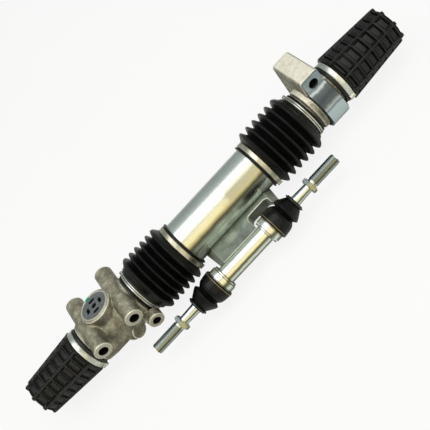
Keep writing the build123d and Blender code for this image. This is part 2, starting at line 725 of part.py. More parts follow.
RUBBER_EDGE = FOOT_BOTTOM - LOOSE / 3
RUBBER_END = [(STRAP_LINE[-1][0], RUBBER_EDGE), (STRAP_FRONT, RUBBER_EDGE)]
with BuildPart() as clamp_rubber:
    with BuildSketch(across(SEAT_LEFT)):
        with BuildLine():
            FilletPolyline(*STRAP_LINE[1:], radius=STRAP_BENDS[1:])
            Polyline(STRAP_LINE[-1], *RUBBER_END, STRAP_LINE[1])
        make_face()
        Circle(SEAT_R + SNUG, mode=Mode.SUBTRACT)
    extrude(amount=SEAT_RIGHT - SEAT_LEFT)
keep(clamp_rubber.part, "clamp_rubber")


def bellows_outline(side, clamp):
    """Half section of a bellows, from its cuff on the sleeve to its cuff on the casting."""
    first = BAND_MIDDLE + BAND_WIDTH / 2 + 3
    last = abs(clamp) - WIRE_GAP - 4
    pitch = (last - first) / BELLOWS_FOLDS
    sleeve_r, neck_r = SLEEVE_R + SNUG, NECK_R + SNUG
    outer = [(CUFF_LIP, sleeve_r), (CUFF_LIP, sleeve_r + CUFF_WALL), (first, sleeve_r + CUFF_WALL)]
    inner = [(first, sleeve_r), (CUFF_LIP, sleeve_r)]
    for fold in range(BELLOWS_FOLDS):
        start = first + fold * pitch
        if fold:
            outer.append((start, BELLOWS_ROOT_R))
            inner.insert(0, (start, BELLOWS_ROOT_R - BELLOWS_WALL))
        for share in (0.42, 0.58):
            outer.append((start + share * pitch, BELLOWS_CREST_R))
            inner.insert(0, (start + share * pitch, BELLOWS_CREST_R - BELLOWS_WALL))
    cuff_end = abs(clamp) + WIRE_GAP + 2.5
    outer += [(last, neck_r + CUFF_WALL), (cuff_end, neck_r + CUFF_WALL), (cuff_end, neck_r)]
    inner.insert(0, (last, neck_r))
    return [(side * x, r) for x, r in outer + inner[:-1]]


SIDES = {"left": (-1, LEFT_CLAMP), "right": (1, RIGHT_CLAMP)}
for name, (side, clamp) in SIDES.items():
    keep(turned(bellows_outline(side, clamp), PROFILE, RACK_AXIS), f"{name}_bellows")

    band_start = side * (BAND_MIDDLE - BAND_WIDTH / 2)
    band_r = SLEEVE_R + CUFF_WALL + 2 * SNUG
    with BuildPart() as band:
        with BuildSketch(across(band_start)):
            Circle(band_r + BAND_THICKNESS)
            Circle(band_r, mode=Mode.SUBTRACT)
            with PolarLocations(band_r + 1.5, 1, start_angle=EAR_ANGLE):
                Rectangle(3.5, 7)
            Circle(band_r, mode=Mode.SUBTRACT)
        extrude(amount=side * BAND_WIDTH)
    keep(band.part, f"{name}_sleeve_band")

    wire_r = NECK_R + CUFF_WALL + 2 * SNUG + WIRE_R
    with BuildPart() as wires:
        for gap in (-WIRE_GAP / 2, WIRE_GAP / 2):
            with BuildSketch(PROFILE):
                with Locations((clamp + gap, wire_r)):
                    Circle(WIRE_R)
            revolve(axis=RACK_AXIS)
    keep(wires.part, f"{name}_wire_clamp")


def end_boot_outline(side, band, end, neck_end):
    """Half section of an end boot: cuff, ribbed body that tapers, and closed end."""
    cuff_start = band - side * (BOOT_BAND_WIDTH / 2 + 4)
    shoulder = band + side * (BOOT_BAND_WIDTH / 2 + 0.5)
    pitch = (end - shoulder) / BOOT_RIBS
    neck_r = BOOT_NECK_R + SNUG
    outer = [(cuff_start, neck_r), (cuff_start, BOOT_CUFF_R), (shoulder, BOOT_CUFF_R)]

    def root(x):
        return BOOT_ROOT_R + (BOOT_TIP_R - BOOT_ROOT_R) * (x - shoulder) / (end - shoulder)

    for rib in range(BOOT_RIBS):
        start = shoulder + rib * pitch
        for share, rise in ((0.05, 0), (0.2, BOOT_RIB), (0.8, BOOT_RIB), (0.95, 0)):
            x = start + share * pitch
            outer.append((x, root(x) + rise))
    last_r = root(end) - 1
    inner = [
        (end, last_r),
        (end, 0),
        (end - side * BOOT_WALL, 0),
        (end - side * BOOT_WALL, last_r - BOOT_WALL),
        (neck_end + side * 4, BOOT_ROOT_R - 1 - BOOT_WALL),
        (neck_end, neck_r),
        (neck_end - side * 2, neck_r + BEAD),
        (neck_end - side * 5, neck_r),
    ]
    return outer + inner


BOOTS = {
    "left": (-1, LEFT_BOOT_BAND, LEFT_BOOT_END, LEFT_BOOT_NECK_END),
    "right": (1, RIGHT_BOOT_BAND, RIGHT_BOOT_END, RIGHT_BOOT_NECK_END),
}
for name, (side, band_x, end, neck_end) in BOOTS.items():
    keep(turned(end_boot_outline(side, band_x, end, neck_end), PROFILE, RACK_AXIS), f"{name}_end_boot")
    with BuildPart() as boot_band:
        with BuildSketch(across(band_x - side * BOOT_BAND_WIDTH / 2)):
            Circle(BOOT_CUFF_R + SNUG + BAND_THICKNESS)
            with PolarLocations(BOOT_CUFF_R + 1.5, 1, start_angle=EAR_ANGLE):
                Rectangle(3.5, 6)
            Circle(BOOT_CUFF_R + SNUG, mode=Mode.SUBTRACT)
        extrude(amount=side * BOOT_BAND_WIDTH)
    keep(boot_band.part, f"{name}_boot_band")

# Carrier: tube between two sockets, each open to its stud
SEAT_OUTER = BALL_R + SEAT_WALL
BALL_AXIS = Axis(CARRIER_MIDDLE, (1, 0, 0))
SEAT_OUTLINE = [
    (BALL_CENTRE - SEAT_OUTER, 0),
    (BALL_CENTRE - SEAT_OUTER, SEAT_OUTER - 4),
    (BALL_CENTRE - SEAT_OUTER + 4, SEAT_OUTER),
    (SOCKET_OUTER, SEAT_OUTER),
    (SOCKET_OUTER, 0),
]
with BuildPart() as rod_carrier:
    with BuildSketch(carrier_plane(1, -SOCKET_INNER)):
        Circle(CARRIER_R)
    extrude(amount=2 * SOCKET_INNER)
    for side in (-1, 1):
        with BuildSketch(carrier_plane(side, SOCKET_INNER - SOCKET_FLANGE - SOCKET_GROOVE)):
            Circle(SOCKET_R)
        extrude(amount=SOCKET_FLANGE)
        with BuildSketch(carrier_plane(side, SOCKET_INNER)):
            Circle(SOCKET_BODY_R)
        extrude(amount=SOCKET_OUTER - SOCKET_INNER)
    for side in (-1, 1):
        with BuildSketch(carrier_profile(side)):
            with BuildLine():
                Polyline(*SEAT_OUTLINE, close=True)
            make_face()
        revolve(axis=BALL_AXIS, mode=Mode.SUBTRACT)
keep(rod_carrier.part, "rod_carrier")

WAIST = DUST_BASE + DUST_WAIST
FLARE = DUST_BASE + DUST_FLARE
MOUTH_END = SOCKET_OUTER + 1
MOUTH_R = STUD_NECK_R / cos(STUD_SWING) + LOOSE
DUST_OUTLINE = [
    (DUST_BASE - DUST_LIP, SOCKET_BODY_R + LOOSE),
    (DUST_BASE - DUST_LIP, DUST_BASE_R),
    (DUST_BASE + 2, DUST_BASE_R),
    (DUST_BASE + 9, DUST_BASE_R - 0.8),
    (DUST_BASE + 13, DUST_BASE_R - 2.4),
    (WAIST, DUST_WAIST_R),
    (FLARE - 1.5, DUST_FLARE_R - 0.3),
    (FLARE, DUST_FLARE_R),
    (FLARE + 3.5, DUST_FLARE_R - 1.2),
    (DUST_END - 5, DUST_NECK_R + 0.8),
    (DUST_END - 4, DUST_NECK_R),
    (DUST_END, DUST_NECK_R),
    (DUST_END, STUD_COLLAR_R + LOOSE),
    (DUST_END - 5, STUD_COLLAR_R + LOOSE),
    (FLARE + 3, DUST_FLARE_R - 1.2 - 1.4 * DUST_WALL),
    (FLARE + 0.5, DUST_FLARE_R - DUST_WALL),
    (WAIST, DUST_WAIST_R - DUST_WALL),
    (DUST_BASE + 12.5, DUST_BASE_R - 2.4 - DUST_WALL),
    (DUST_BASE + 9, DUST_BASE_R - 0.8 - DUST_WALL),
    (SOCKET_OUTER + LOOSE, DUST_BASE_R - 0.6 - DUST_WALL),
    (SOCKET_OUTER + LOOSE, SOCKET_BODY_R + LOOSE),
]
for name, (side, clamp) in SIDES.items():
    profile = carrier_profile(side)

    with BuildPart() as ball_seat:
        with BuildSketch(profile):
            with BuildLine():
                Polyline(*SEAT_OUTLINE, close=True)
            make_face()
        revolve(axis=BALL_AXIS)
        with BuildSketch(profile):
            with BuildLine():
                Polyline(
                    (BALL_CENTRE, 0),
                    (BALL_CENTRE, MOUTH_R),
                    (MOUTH_END, MOUTH_R + (MOUTH_END - BALL_CENTRE) * tan(STUD_SWING)),
                    (MOUTH_END, 0),
                    close=True,
                )
            make_face()
        revolve(axis=BALL_AXIS, mode=Mode.SUBTRACT)
        with Locations(carrier_plane(side, BALL_CENTRE)):
            Sphere(BALL_R + RUNNING, mode=Mode.SUBTRACT)
    keep(ball_seat.part, f"{name}_ball_seat")

    with BuildPart() as ball_stud:
        with Locations(carrier_plane(side, BALL_CENTRE)):
            Sphere(BALL_R)
        with BuildSketch(profile):
            with BuildLine():
                Polyline(
                    (BALL_CENTRE, 0),
                    (BALL_CENTRE, STUD_NECK_R),
                    (FLARE, STUD_NECK_R),
                    (DUST_END - 8, STUD_COLLAR_R),
                    (DUST_END + 2, STUD_COLLAR_R),
                    (HEX_START, STUD_TAPER_R),
                    (HEX_START + HEX_WIDTH, STUD_TAPER_R),
                    (HEX_START + HEX_WIDTH, THREAD_R),
                    (THREAD_END - 1.2, THREAD_R),
                    (THREAD_END, THREAD_R - 1.2),
                    (THREAD_END, 0),
                    close=True,
                )
            make_face()
        revolve(axis=BALL_AXIS)
        with BuildSketch(carrier_plane(side, HEX_START)):
            RegularPolygon(HEX_ACROSS / 2, 6, major_radius=False)
        extrude(amount=HEX_WIDTH)
    keep(ball_stud.part, f"{name}_ball_stud")

    keep(turned(DUST_OUTLINE, profile, BALL_AXIS), f"{name}_dust_boot")
    clips = (
        ("base_clip", DUST_BASE - DUST_LIP / 2, DUST_BASE_R + LOOSE, BASE_CLIP_WIRE_R),
        ("neck_clip", DUST_END - 2, DUST_NECK_R + LOOSE, NECK_CLIP_WIRE_R),
    )
    for clip_name, station, seat_r, wire_r in clips:
        with BuildPart() as clip:
            with BuildSketch(profile):
                with Locations((station, seat_r + wire_r)):
                    Circle(wire_r)
            revolve(axis=BALL_AXIS)
        keep(clip.part, f"{name}_{clip_name}")

# Bracket: a pressed tray with splayed ends, open below and notched round the right socket
BRACKET_NEAR = -SLEEVE_R / 2
BRACKET_FAR = CARRIER_Y + CARRIER_R / 2
OPEN_END = 10.0


def tray(wall):
    """Block of the bracket, wider below; with a wall it is the hollow, open below and behind."""
    top = RACK_Z + BRACKET_TOP - wall
    foot = RACK_Z + BRACKET_TOP - BRACKET_DEPTH - (1 if wall else 0)
    far = BRACKET_FAR - (OPEN_END if wall else 0)
    with BuildPart() as block:
        for height, half, taper in (
            (top, BRACKET_TOP_HALF - wall, 0),
            (foot, BRACKET_FOOT_HALF - wall, BRACKET_FAR_TAPER),
        ):
            with BuildSketch(Plane.XY.offset(height)):
                with BuildLine():
                    Polyline(
                        (SLEEVE_X - half, BRACKET_NEAR),
                        (SLEEVE_X + half, BRACKET_NEAR),
                        (SLEEVE_X + half - taper, far),
                        (SLEEVE_X - half + taper, far),
                        close=True,
                    )
                make_face()
        loft()
    return block.part


def notch(wall):
    """Prism of the notch, grown by the wall that is turned down round it."""
    start, end = SLEEVE_X + NOTCH_START - wall, SLEEVE_X + NOTCH_END + wall
    far = BRACKET_FAR - 2 * OPEN_END
    with BuildPart() as prism:
        with BuildSketch(Plane.XY.offset(RACK_Z + BRACKET_TOP)):
            with BuildLine():
                Polyline((start, NOTCH_DEPTH + wall), (end, NOTCH_DEPTH + wall), (end, far), (start, far), close=True)
            make_face()
            fillet(vertices().group_by(Axis.Y)[-1], NOTCH_RADIUS + wall)
        extrude(amount=-2 * BRACKET_DEPTH)
    return prism.part


with BuildPart() as carrier_bracket:
    add(tray(0))
    with BuildPart(mode=Mode.SUBTRACT):
        add(tray(BRACKET_THICKNESS))
        add(notch(BRACKET_THICKNESS), mode=Mode.SUBTRACT)
    add(notch(0), mode=Mode.SUBTRACT)
    with BuildSketch(across(-SLEEVE_HALF)):
        Circle(SLEEVE_R + SNUG)
    extrude(amount=2 * SLEEVE_HALF, mode=Mode.SUBTRACT)
    with BuildSketch(carrier_plane(1, -SOCKET_INNER)):
        Circle(CARRIER_R + SNUG)
    extrude(amount=2 * SOCKET_INNER, mode=Mode.SUBTRACT)
    for side in (-1, 1):
        with BuildSketch(carrier_plane(side, SOCKET_INNER - SOCKET_FLANGE - LOOSE)):
            Circle(DUST_BASE_R + BRACKET_THICKNESS)
        extrude(amount=DUST_END, mode=Mode.SUBTRACT)
keep(carrier_bracket.part, "carrier_bracket")
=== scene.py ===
"""Looks of the steering rack: fine shapes, materials, light and camera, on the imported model."""
from math import cos, degrees, pi, radians, sin

import bmesh
import bpy
from mathutils import Matrix, Vector

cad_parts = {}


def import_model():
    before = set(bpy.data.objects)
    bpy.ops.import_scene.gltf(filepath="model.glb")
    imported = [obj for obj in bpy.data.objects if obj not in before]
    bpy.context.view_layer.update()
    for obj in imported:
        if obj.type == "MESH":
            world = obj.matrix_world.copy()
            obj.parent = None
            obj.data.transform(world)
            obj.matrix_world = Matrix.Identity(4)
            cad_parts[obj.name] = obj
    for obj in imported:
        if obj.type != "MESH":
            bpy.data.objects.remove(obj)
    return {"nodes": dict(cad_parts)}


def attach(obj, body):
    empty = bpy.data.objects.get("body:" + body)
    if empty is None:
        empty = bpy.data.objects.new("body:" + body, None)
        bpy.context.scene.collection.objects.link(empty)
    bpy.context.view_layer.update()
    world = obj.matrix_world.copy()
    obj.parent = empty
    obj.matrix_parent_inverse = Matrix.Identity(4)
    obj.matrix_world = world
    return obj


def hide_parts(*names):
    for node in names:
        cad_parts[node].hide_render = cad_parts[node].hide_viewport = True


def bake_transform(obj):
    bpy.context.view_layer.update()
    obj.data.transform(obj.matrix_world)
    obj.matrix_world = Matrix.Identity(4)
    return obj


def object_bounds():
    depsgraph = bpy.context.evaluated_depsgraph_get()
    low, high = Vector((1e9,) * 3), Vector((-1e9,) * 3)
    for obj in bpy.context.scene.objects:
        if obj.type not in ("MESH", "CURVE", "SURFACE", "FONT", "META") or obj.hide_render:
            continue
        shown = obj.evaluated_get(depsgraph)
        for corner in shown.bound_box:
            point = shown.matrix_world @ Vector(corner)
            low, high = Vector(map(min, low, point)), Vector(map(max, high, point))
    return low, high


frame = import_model()
CAD_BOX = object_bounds()

# Places from the part's source, in metres. Stations run along the rack from the sleeve's middle.
MM = 0.001
RACK_ORIGIN = Vector((160, 0, -23)) * MM
CARRIER_ORIGIN = Vector((139.5, -70, -38.5)) * MM
X_AXIS = Vector((1, 0, 0))
SIDES = {"left": -1, "right": 1}
YOKE_ROLL = radians(7)
YOKE_DIR = Vector((0, sin(YOKE_ROLL), cos(YOKE_ROLL)))
YOKE_ORIGIN = RACK_ORIGIN + Vector((-187.5, 0, 0)) * MM
RIM_TOP, PLUG_TOP = 0.036, 0.0362
LOWER_FRONT = Vector((0, -1, -1)).normalized()
SMOOTH_ANGLE = radians(38)

# Holes seen from the front: station, height over the rack's axis and radius, in mm. Inside them the casting
# is near black: painted shade.
BOSS_BORES = [(-160, 23, 6.1), (-212, 23, 6.1)]
LUG_BORE = (-149, -10, 5.3)
STRAP_BORE = (175, 38, 6.9)

# Dabs of green paint over the plug's edge: place in mm from the rack's origin, and radius in metres
DAB_PLACES = [((-192.2, 25.0, 33.2), 0.0036), ((-190.2, 21.2, 34.0), 0.0022)]
DABS = [(RACK_ORIGIN + Vector(at) * MM, radius, (0.0, 0.32, 0.2)) for at, radius in DAB_PLACES]


# Meshes

def smoothed(mesh):
    """Shade a mesh smooth but for its sharp edges."""
    mesh.shade_smooth()
    mesh.set_sharp_from_angle(angle=SMOOTH_ANGLE)


def place(name, verts, faces):
    """New mesh object from points in metres and faces."""
    mesh = bpy.data.meshes.new(name)
    mesh.from_pydata([tuple(v) for v in verts], [], faces)
    mesh.validate()
    piece = bpy.data.objects.new(name, mesh)
    bpy.context.scene.collection.objects.link(piece)
    smoothed(mesh)
    return piece


def face_out(piece):
    """Turn all faces of a closed mesh outwards."""
    bm = bmesh.new()
    bm.from_mesh(piece.data)
    bmesh.ops.recalc_face_normals(bm, faces=bm.faces)
    bm.to_mesh(piece.data)
    bm.free()
    smoothed(piece.data)


def around(side, angle):
    """Unit vector square to the rack, turned from +Y about the direction that points out on a side."""
    return Vector((0, cos(angle), side * sin(angle)))


def turn(name, profile, origin, side=1, segments=96, rise=None):
    """Mesh turned about a line along the rack, from a closed (along, radius) profile in mm.

    Along runs from the origin outwards on the side. rise(angle, along, radius) is added to the radius.
    """
    verts, faces, rings = [], [], []
    for along, radius in profile:
        centre = X_AXIS * side * along
        if radius < 1e-6:
            verts.append(origin + centre * MM)
            rings.append([len(verts) - 1] * segments)
            continue
        ring = []
        for i in range(segments):
            angle = 2 * pi * i / segments
            reach = radius + (rise(angle, along, radius) if rise else 0)
            verts.append(origin + (centre + around(side, angle) * reach) * MM)
            ring.append(len(verts) - 1)
        rings.append(ring)
    for a, b in zip(rings, rings[1:] + rings[:1]):
        for i in range(segments):
            j = (i + 1) % segments
            corners = list(dict.fromkeys((a[i], a[j], b[j], b[i])))
            if len(corners) > 2:
                faces.append(corners)
    piece = place(name, verts, faces)
    face_out(piece)
    return piece


def between(p, q, r, s, t):
    """Catmull-Rom value at a share t of the way from q to r, where p comes before and s after."""
    square = (2 * p - 5 * q + 4 * r - s) * t * t
    cube = (3 * q - p - 3 * r + s) * t ** 3
    return 0.5 * (2 * q + (r - p) * t + square + cube)


def curve_through(points, steps=6):
    """Smooth run of points through the given ones."""
    run = []
    padded = [points[0]] + list(points) + [points[-1]]
    for a, b, c, d in zip(padded, padded[1:], padded[2:], padded[3:]):
        for k in range(steps):
            run.append(tuple(between(p, q, r, s, k / steps) for p, q, r, s in zip(a, b, c, d)))
    run.append(tuple(points[-1]))
    return run


def tube(name, points, radius):
    """Round wire of a radius in mm along points in metres."""
    curve = bpy.data.curves.new(name, "CURVE")
    curve.dimensions = "3D"
    curve.bevel_depth = radius * MM
    curve.bevel_resolution = 3
    curve.use_fill_caps = True
    spline = curve.splines.new("NURBS")
    spline.points.add(len(points) - 1)
    for point, at in zip(spline.points, points):
        point.co = (*at, 1)
    spline.order_u = 4
    spline.use_endpoint_u = True
    spline.resolution_u = 6
    piece = bpy.data.objects.new(name, curve)
    bpy.context.scene.collection.objects.link(piece)
    return solid(piece)


def solid(piece):
    """The object with its modifiers or curve turned into a plain mesh."""
    bpy.context.view_layer.update()
    graph = bpy.context.evaluated_depsgraph_get()
    mesh = bpy.data.meshes.new_from_object(piece.evaluated_get(graph))
    if piece.type == "MESH":
        piece.modifiers.clear()
        piece.data = mesh
        return piece
    name = piece.name
    bpy.data.objects.remove(piece)
    made = bpy.data.objects.new(name, mesh)
    bpy.context.scene.collection.objects.link(made)
    mesh.shade_smooth()
    return made


def softened(node, name, voxel, passes, crisp):
    """Copy of a CAD casting or pressing with rounded edges, but for points in mm where crisp() says so."""
    piece = bpy.data.objects.new(name, frame["nodes"][node].data.copy())
    bpy.context.scene.collection.objects.link(piece)
    piece.data.materials.clear()
    remesh = piece.modifiers.new("remesh", "REMESH")
    remesh.mode = "VOXEL"
    remesh.voxel_size = voxel * MM
    solid(piece)
    soft = [v.index for v in piece.data.vertices if not crisp((v.co - RACK_ORIGIN) / MM)]
    piece.vertex_groups.new(name="soft").add(soft, 1.0, "REPLACE")
    smooth = piece.modifiers.new("smooth", "SMOOTH")
    smooth.factor = 0.5
    smooth.iterations = passes
    smooth.vertex_group = "soft"
    solid(piece)
    piece.data.shade_smooth()
    return piece


def finish(piece, body, slot, material, *nodes):
    """Give a piece its material, hide the CAD nodes it stands for, and attach it to its body if it has one.
    The slot is not used.
    """
    piece.data.materials.clear()
    piece.data.materials.append(material)
    if nodes:
        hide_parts(*nodes)
    if body:
        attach(piece, body)
    return piece


# Materials

class Shade:
    """A material's nodes, added call by call. Lengths are in metres of the object's own space."""

    def __init__(self, name):
        self.material = bpy.data.materials.new(name)
        self.material.use_nodes = True
        self.tree = self.material.node_tree
        self.bsdf = self.tree.nodes["Principled BSDF"]
        self.coords = self.tree.nodes.new("ShaderNodeTexCoord").outputs["Object"]

    def node(self, kind, **inputs):
        made = self.tree.nodes.new("ShaderNode" + kind)
        for key, value in inputs.items():
            self.link(made.inputs[key.replace("_", " ")], value)
        return made

    def link(self, socket, value):
        if isinstance(value, bpy.types.NodeSocket):
            self.tree.links.new(value, socket)
        else:
            socket.default_value = value

    def stretched(self, x, y, z):
        """Object coordinates scaled by axis, for grain with a direction."""
        return self.node("Mapping", Vector=self.coords, Scale=(x, y, z)).outputs["Vector"]

    def noise(self, size, detail=3.0, where=None, rough=0.55):
        """Noise with features of a size in metres."""
        return self.node("TexNoise", Vector=where or self.coords, Scale=1 / size, Detail=detail,
                         Roughness=rough).outputs["Fac"]

    def ramp(self, value, *stops):
        """Colour ramp of (place, colour) stops; a colour may be one number."""
        made = self.node("ValToRGB", Fac=value)
        ramp = made.color_ramp
        while len(ramp.elements) < len(stops):
            ramp.elements.new(1.0)
        for element, (at, colour) in zip(ramp.elements, stops):
            element.position = at
            element.color = (colour,) * 3 + (1,) if isinstance(colour, (int, float)) else (*colour, 1)
        return made.outputs["Color"]

    def mix(self, factor, first, second, kind="MIX"):
        made = self.tree.nodes.new("ShaderNodeMix")
        made.data_type = "RGBA"
        made.blend_type = kind
        self.link(made.inputs["Factor"], factor)
        for socket, value in ((made.inputs[6], first), (made.inputs[7], second)):
            if isinstance(value, tuple) and len(value) == 3:
                value = (*value, 1)
            self.link(socket, value)
        return made.outputs[2]

    def math(self, kind, first, second=0.0, third=0.0):
        made = self.tree.nodes.new("ShaderNodeMath")
        made.operation = kind
        for socket, value in zip(made.inputs, (first, second, third)):
            self.link(socket, value)
        return made.outputs["Value"]

    def axis(self, name):
        """One coordinate of the object's own space."""
        return self.node("SeparateXYZ", Vector=self.coords).outputs[name]

    def facing(self, direction, which="True Normal"):
        """How far the surface faces a direction fixed to the object."""
        normal = self.tree.nodes.new("ShaderNodeNewGeometry").outputs[which]
        made = self.tree.nodes.new("ShaderNodeVectorMath")
        made.operation = "DOT_PRODUCT"
        self.link(made.inputs[0], normal)
        self.link(made.inputs[1], tuple(direction))
        return made.outputs["Value"]

    def along(self, point, direction):
        """Height over a plane through a point, in metres."""
        made = self.tree.nodes.new("ShaderNodeVectorMath")
        made.operation = "DOT_PRODUCT"
        self.link(made.inputs[0], self.coords)
        self.link(made.inputs[1], tuple(direction))
        return self.math("SUBTRACT", made.outputs["Value"], point.dot(direction))

    def near(self, point, radius, edge, where=None):
        """1 within a radius of a point in metres, falling to 0 over an edge."""
        made = self.tree.nodes.new("ShaderNodeVectorMath")
        made.operation = "DISTANCE"
        self.link(made.inputs[0], where or self.coords)
        self.link(made.inputs[1], tuple(point))
        return self.spread(made.outputs["Value"], radius + edge, radius)

    def spread(self, value, low, high):
        """0 at low and 1 at high, straight between."""
        made = self.node("MapRange", Value=value)
        made.inputs["From Min"].default_value = low
        made.inputs["From Max"].default_value = high
        return made.outputs["Result"]

    def worn_and_highlit_edges(self, low, high):
        """1 on the outer edges of a dense mesh."""
        point = self.tree.nodes.new("ShaderNodeNewGeometry").outputs["Pointiness"]
        return self.ramp(point, (low, 0.0), (high, 1.0))

    def bump(self, height, depth, strength):
        """Bump of a height field, depth in metres."""
        return self.node("Bump", Height=height, Distance=depth, Strength=strength).outputs["Normal"]

    def marked(self, base, marks):
        """The base colour with dabs of paint."""
        for point, radius, colour in marks:
            ragged = self.ramp(self.noise(0.0022, 3), (0.36, 0.4), (0.46, 1.0))
            dab = self.math("MULTIPLY", self.near(point, radius, radius * 0.3), ragged)
            base = self.mix(dab, base, colour)
        return base

    def done(self, colour, roughness, metallic=0.0, normal=None, **fixed):
        """Join everything to the shader and return the material."""
        if isinstance(colour, tuple):
            colour = (*colour, 1)
        self.link(self.bsdf.inputs["Base Color"], colour)
        self.link(self.bsdf.inputs["Roughness"], roughness)
        self.link(self.bsdf.inputs["Metallic"], metallic)
        if normal:
            self.link(self.bsdf.inputs["Normal"], normal)
        for key, value in fixed.items():
            self.bsdf.inputs[key.replace("_", " ")].default_value = value
        return self.material


def cast_alloy(name, machined, bright, marks=(), shaded_bores=()):
    """Sand-cast aluminium: warm grey and grainy, lighter on edges as wear and painted highlight, painted
    lighter on faces turned up, near black inside bored openings as painted shade, and lighter where
    machined() says so.
    """
    s = Shade(name)
    cloud = s.noise(0.011, 5, rough=0.6)
    grain = s.noise(0.0013, 5, rough=0.75)
    wave = s.noise(0.005, 3)
    base = s.ramp(cloud, (0.3, (0.11, 0.101, 0.074)), (0.48, (0.24, 0.225, 0.17)),
                  (0.68, (0.47, 0.445, 0.35)))
    base = s.mix(s.ramp(grain, (0.42, 0.0), (0.66, 0.75)), base, (0.1, 0.09, 0.064))
    base = s.mix(s.ramp(grain, (0.28, 0.5), (0.42, 0.0)), base, (0.8, 0.77, 0.65))
    # Edges lightened: partly wear, partly painted highlight.
    base = s.mix(s.math("MULTIPLY", s.worn_and_highlit_edges(0.504, 0.545), 0.9), base, (0.9, 0.88, 0.76))
    # Faces turned up are painted lighter: painted light from above.
    upper = s.ramp(s.facing((0, 0, 1), "Normal"), (0.5, 0.0), (0.95, 0.85))
    base = s.mix(upper, base, (1.5, 1.5, 1.45), "MULTIPLY")
    # On the right casting this mask carries painted light too: the foot's top and a highlight band on the
    # neck.
    machined_or_lit = machined(s)
    turned = s.mix(s.ramp(grain, (0.48, 0.0), (0.7, 0.5)), bright, tuple(c * 0.42 for c in bright))
    base = s.mix(machined_or_lit, base, turned)
    # Near black inside each bore: painted shade.
    for x, z, radius in shaded_bores:
        middle = RACK_ORIGIN + Vector((x, 0, z)) * MM
        bore_shade = s.near(middle, radius * MM, 0.0003, where=s.stretched(1, 0, 1))
        base = s.mix(bore_shade, base, (0.015, 0.014, 0.012))
    base = s.marked(base, marks)
    rough = s.mix(machined_or_lit, s.ramp(grain, (0.3, 0.36), (0.7, 0.56)), (0.34, 0.34, 0.34))
    metallic = s.mix(machined_or_lit, (0.6, 0.6, 0.6), (0.15, 0.15, 0.15))
    height = s.math("ADD", s.math("MULTIPLY", grain, 0.8), s.math("MULTIPLY", wave, 1.2))
    return s.done(base, rough, metallic, s.bump(height, 0.0005, 0.8))


BOSS_FACE_Y = -0.0432
RIM_R = 0.0215
RIGHT_NECK_END = 0.3118


def faced_left(s):
    """Faces of the bosses and the lug, and the top of the yoke's rim."""
    front = s.math("GREATER_THAN", s.facing((0, -1, 0)), 0.96)
    bosses = s.math("MULTIPLY", front, s.math("LESS_THAN", s.axis("Y"), BOSS_FACE_Y))
    rim = s.math("GREATER_THAN", s.facing(YOKE_DIR), 0.8)
    high = s.math("GREATER_THAN", s.along(YOKE_ORIGIN, YOKE_DIR), RIM_TOP - 0.0007)
    near_rim = s.near(YOKE_ORIGIN + YOKE_DIR * RIM_TOP, RIM_R, 0.0005)
    return s.math("MAXIMUM", bosses, s.math("MULTIPLY", s.math("MULTIPLY", rim, high), near_rim))


def painted_light_right(s):
    """Upper face of the foot painted bright and mottled as light from above, and a painted highlight band on
    the upper front of the turned neck.
    """
    # The foot's upper face, made bright and mottled: painted light.
    up = s.ramp(s.facing((0, 0, 1)), (0.75, 0.0), (0.97, 1.0))
    foot = s.math("GREATER_THAN", s.axis("Z"), 0.0)
    patches = s.ramp(s.noise(0.007, 5, rough=0.7), (0.3, 0.7), (0.6, 1.0))
    painted_top_light = s.math("MULTIPLY", s.math("MULTIPLY", up, foot), patches)
    # A band by facing across the neck's upper front: painted highlight.
    share = s.math("MULTIPLY_ADD", s.facing(LOWER_FRONT, "Normal"), 0.5, 0.5)
    shine = s.ramp(share, (0.12, 0.0), (0.28, 0.9), (0.46, 0.7), (0.62, 0.0))
    neck = s.math("LESS_THAN", s.axis("X"), RIGHT_NECK_END)
    return s.math("MAXIMUM", painted_top_light, s.math("MULTIPLY", neck, shine))


def steel(name, colour, dark, rough, line_axis=None, patch=0.02, edges=None):
    """Machined or plated steel with cloudy tone, fine lines and small specks.

    With a colour for the edges, the outer edges of a dense mesh take it, as wear and painted highlight, and
    the cut ends get a darker and duller shade of it.
    """
    s = Shade(name)
    cloud = s.noise(patch, 4)
    stretch = {"X": (0.05, 1, 1), "round": (1, 0.08, 0.08), None: (1, 1, 1)}[line_axis]
    lines = s.noise(0.0007, 3, where=s.stretched(*stretch))
    base = s.ramp(cloud, (0.3, dark), (0.62, colour))
    base = s.mix(s.ramp(s.noise(0.0016, 5, rough=0.75), (0.55, 0.0), (0.75, 0.35)), base, dark)
    metallic = 1.0
    if edges:
        # Edges take the edge colour: partly wear, partly painted highlight.
        base = s.mix(s.worn_and_highlit_edges(0.503, 0.53), base, edges)
        cut = s.ramp(s.math("ABSOLUTE", s.facing(X_AXIS)), (0.6, 0.0), (0.9, 0.85))
        base = s.mix(cut, base, tuple(c * 0.6 for c in edges))
        metallic = s.mix(cut, (1.0, 1.0, 1.0), (0.2, 0.2, 0.2))
    uneven = s.math("MULTIPLY", s.math("SUBTRACT", lines, 0.5), 0.35)
    tone = s.math("ADD", uneven, s.ramp(cloud, (0.3, rough * 1.25), (0.7, rough)))
    return s.done(base, tone, metallic, s.bump(lines, 0.00008, 0.35))


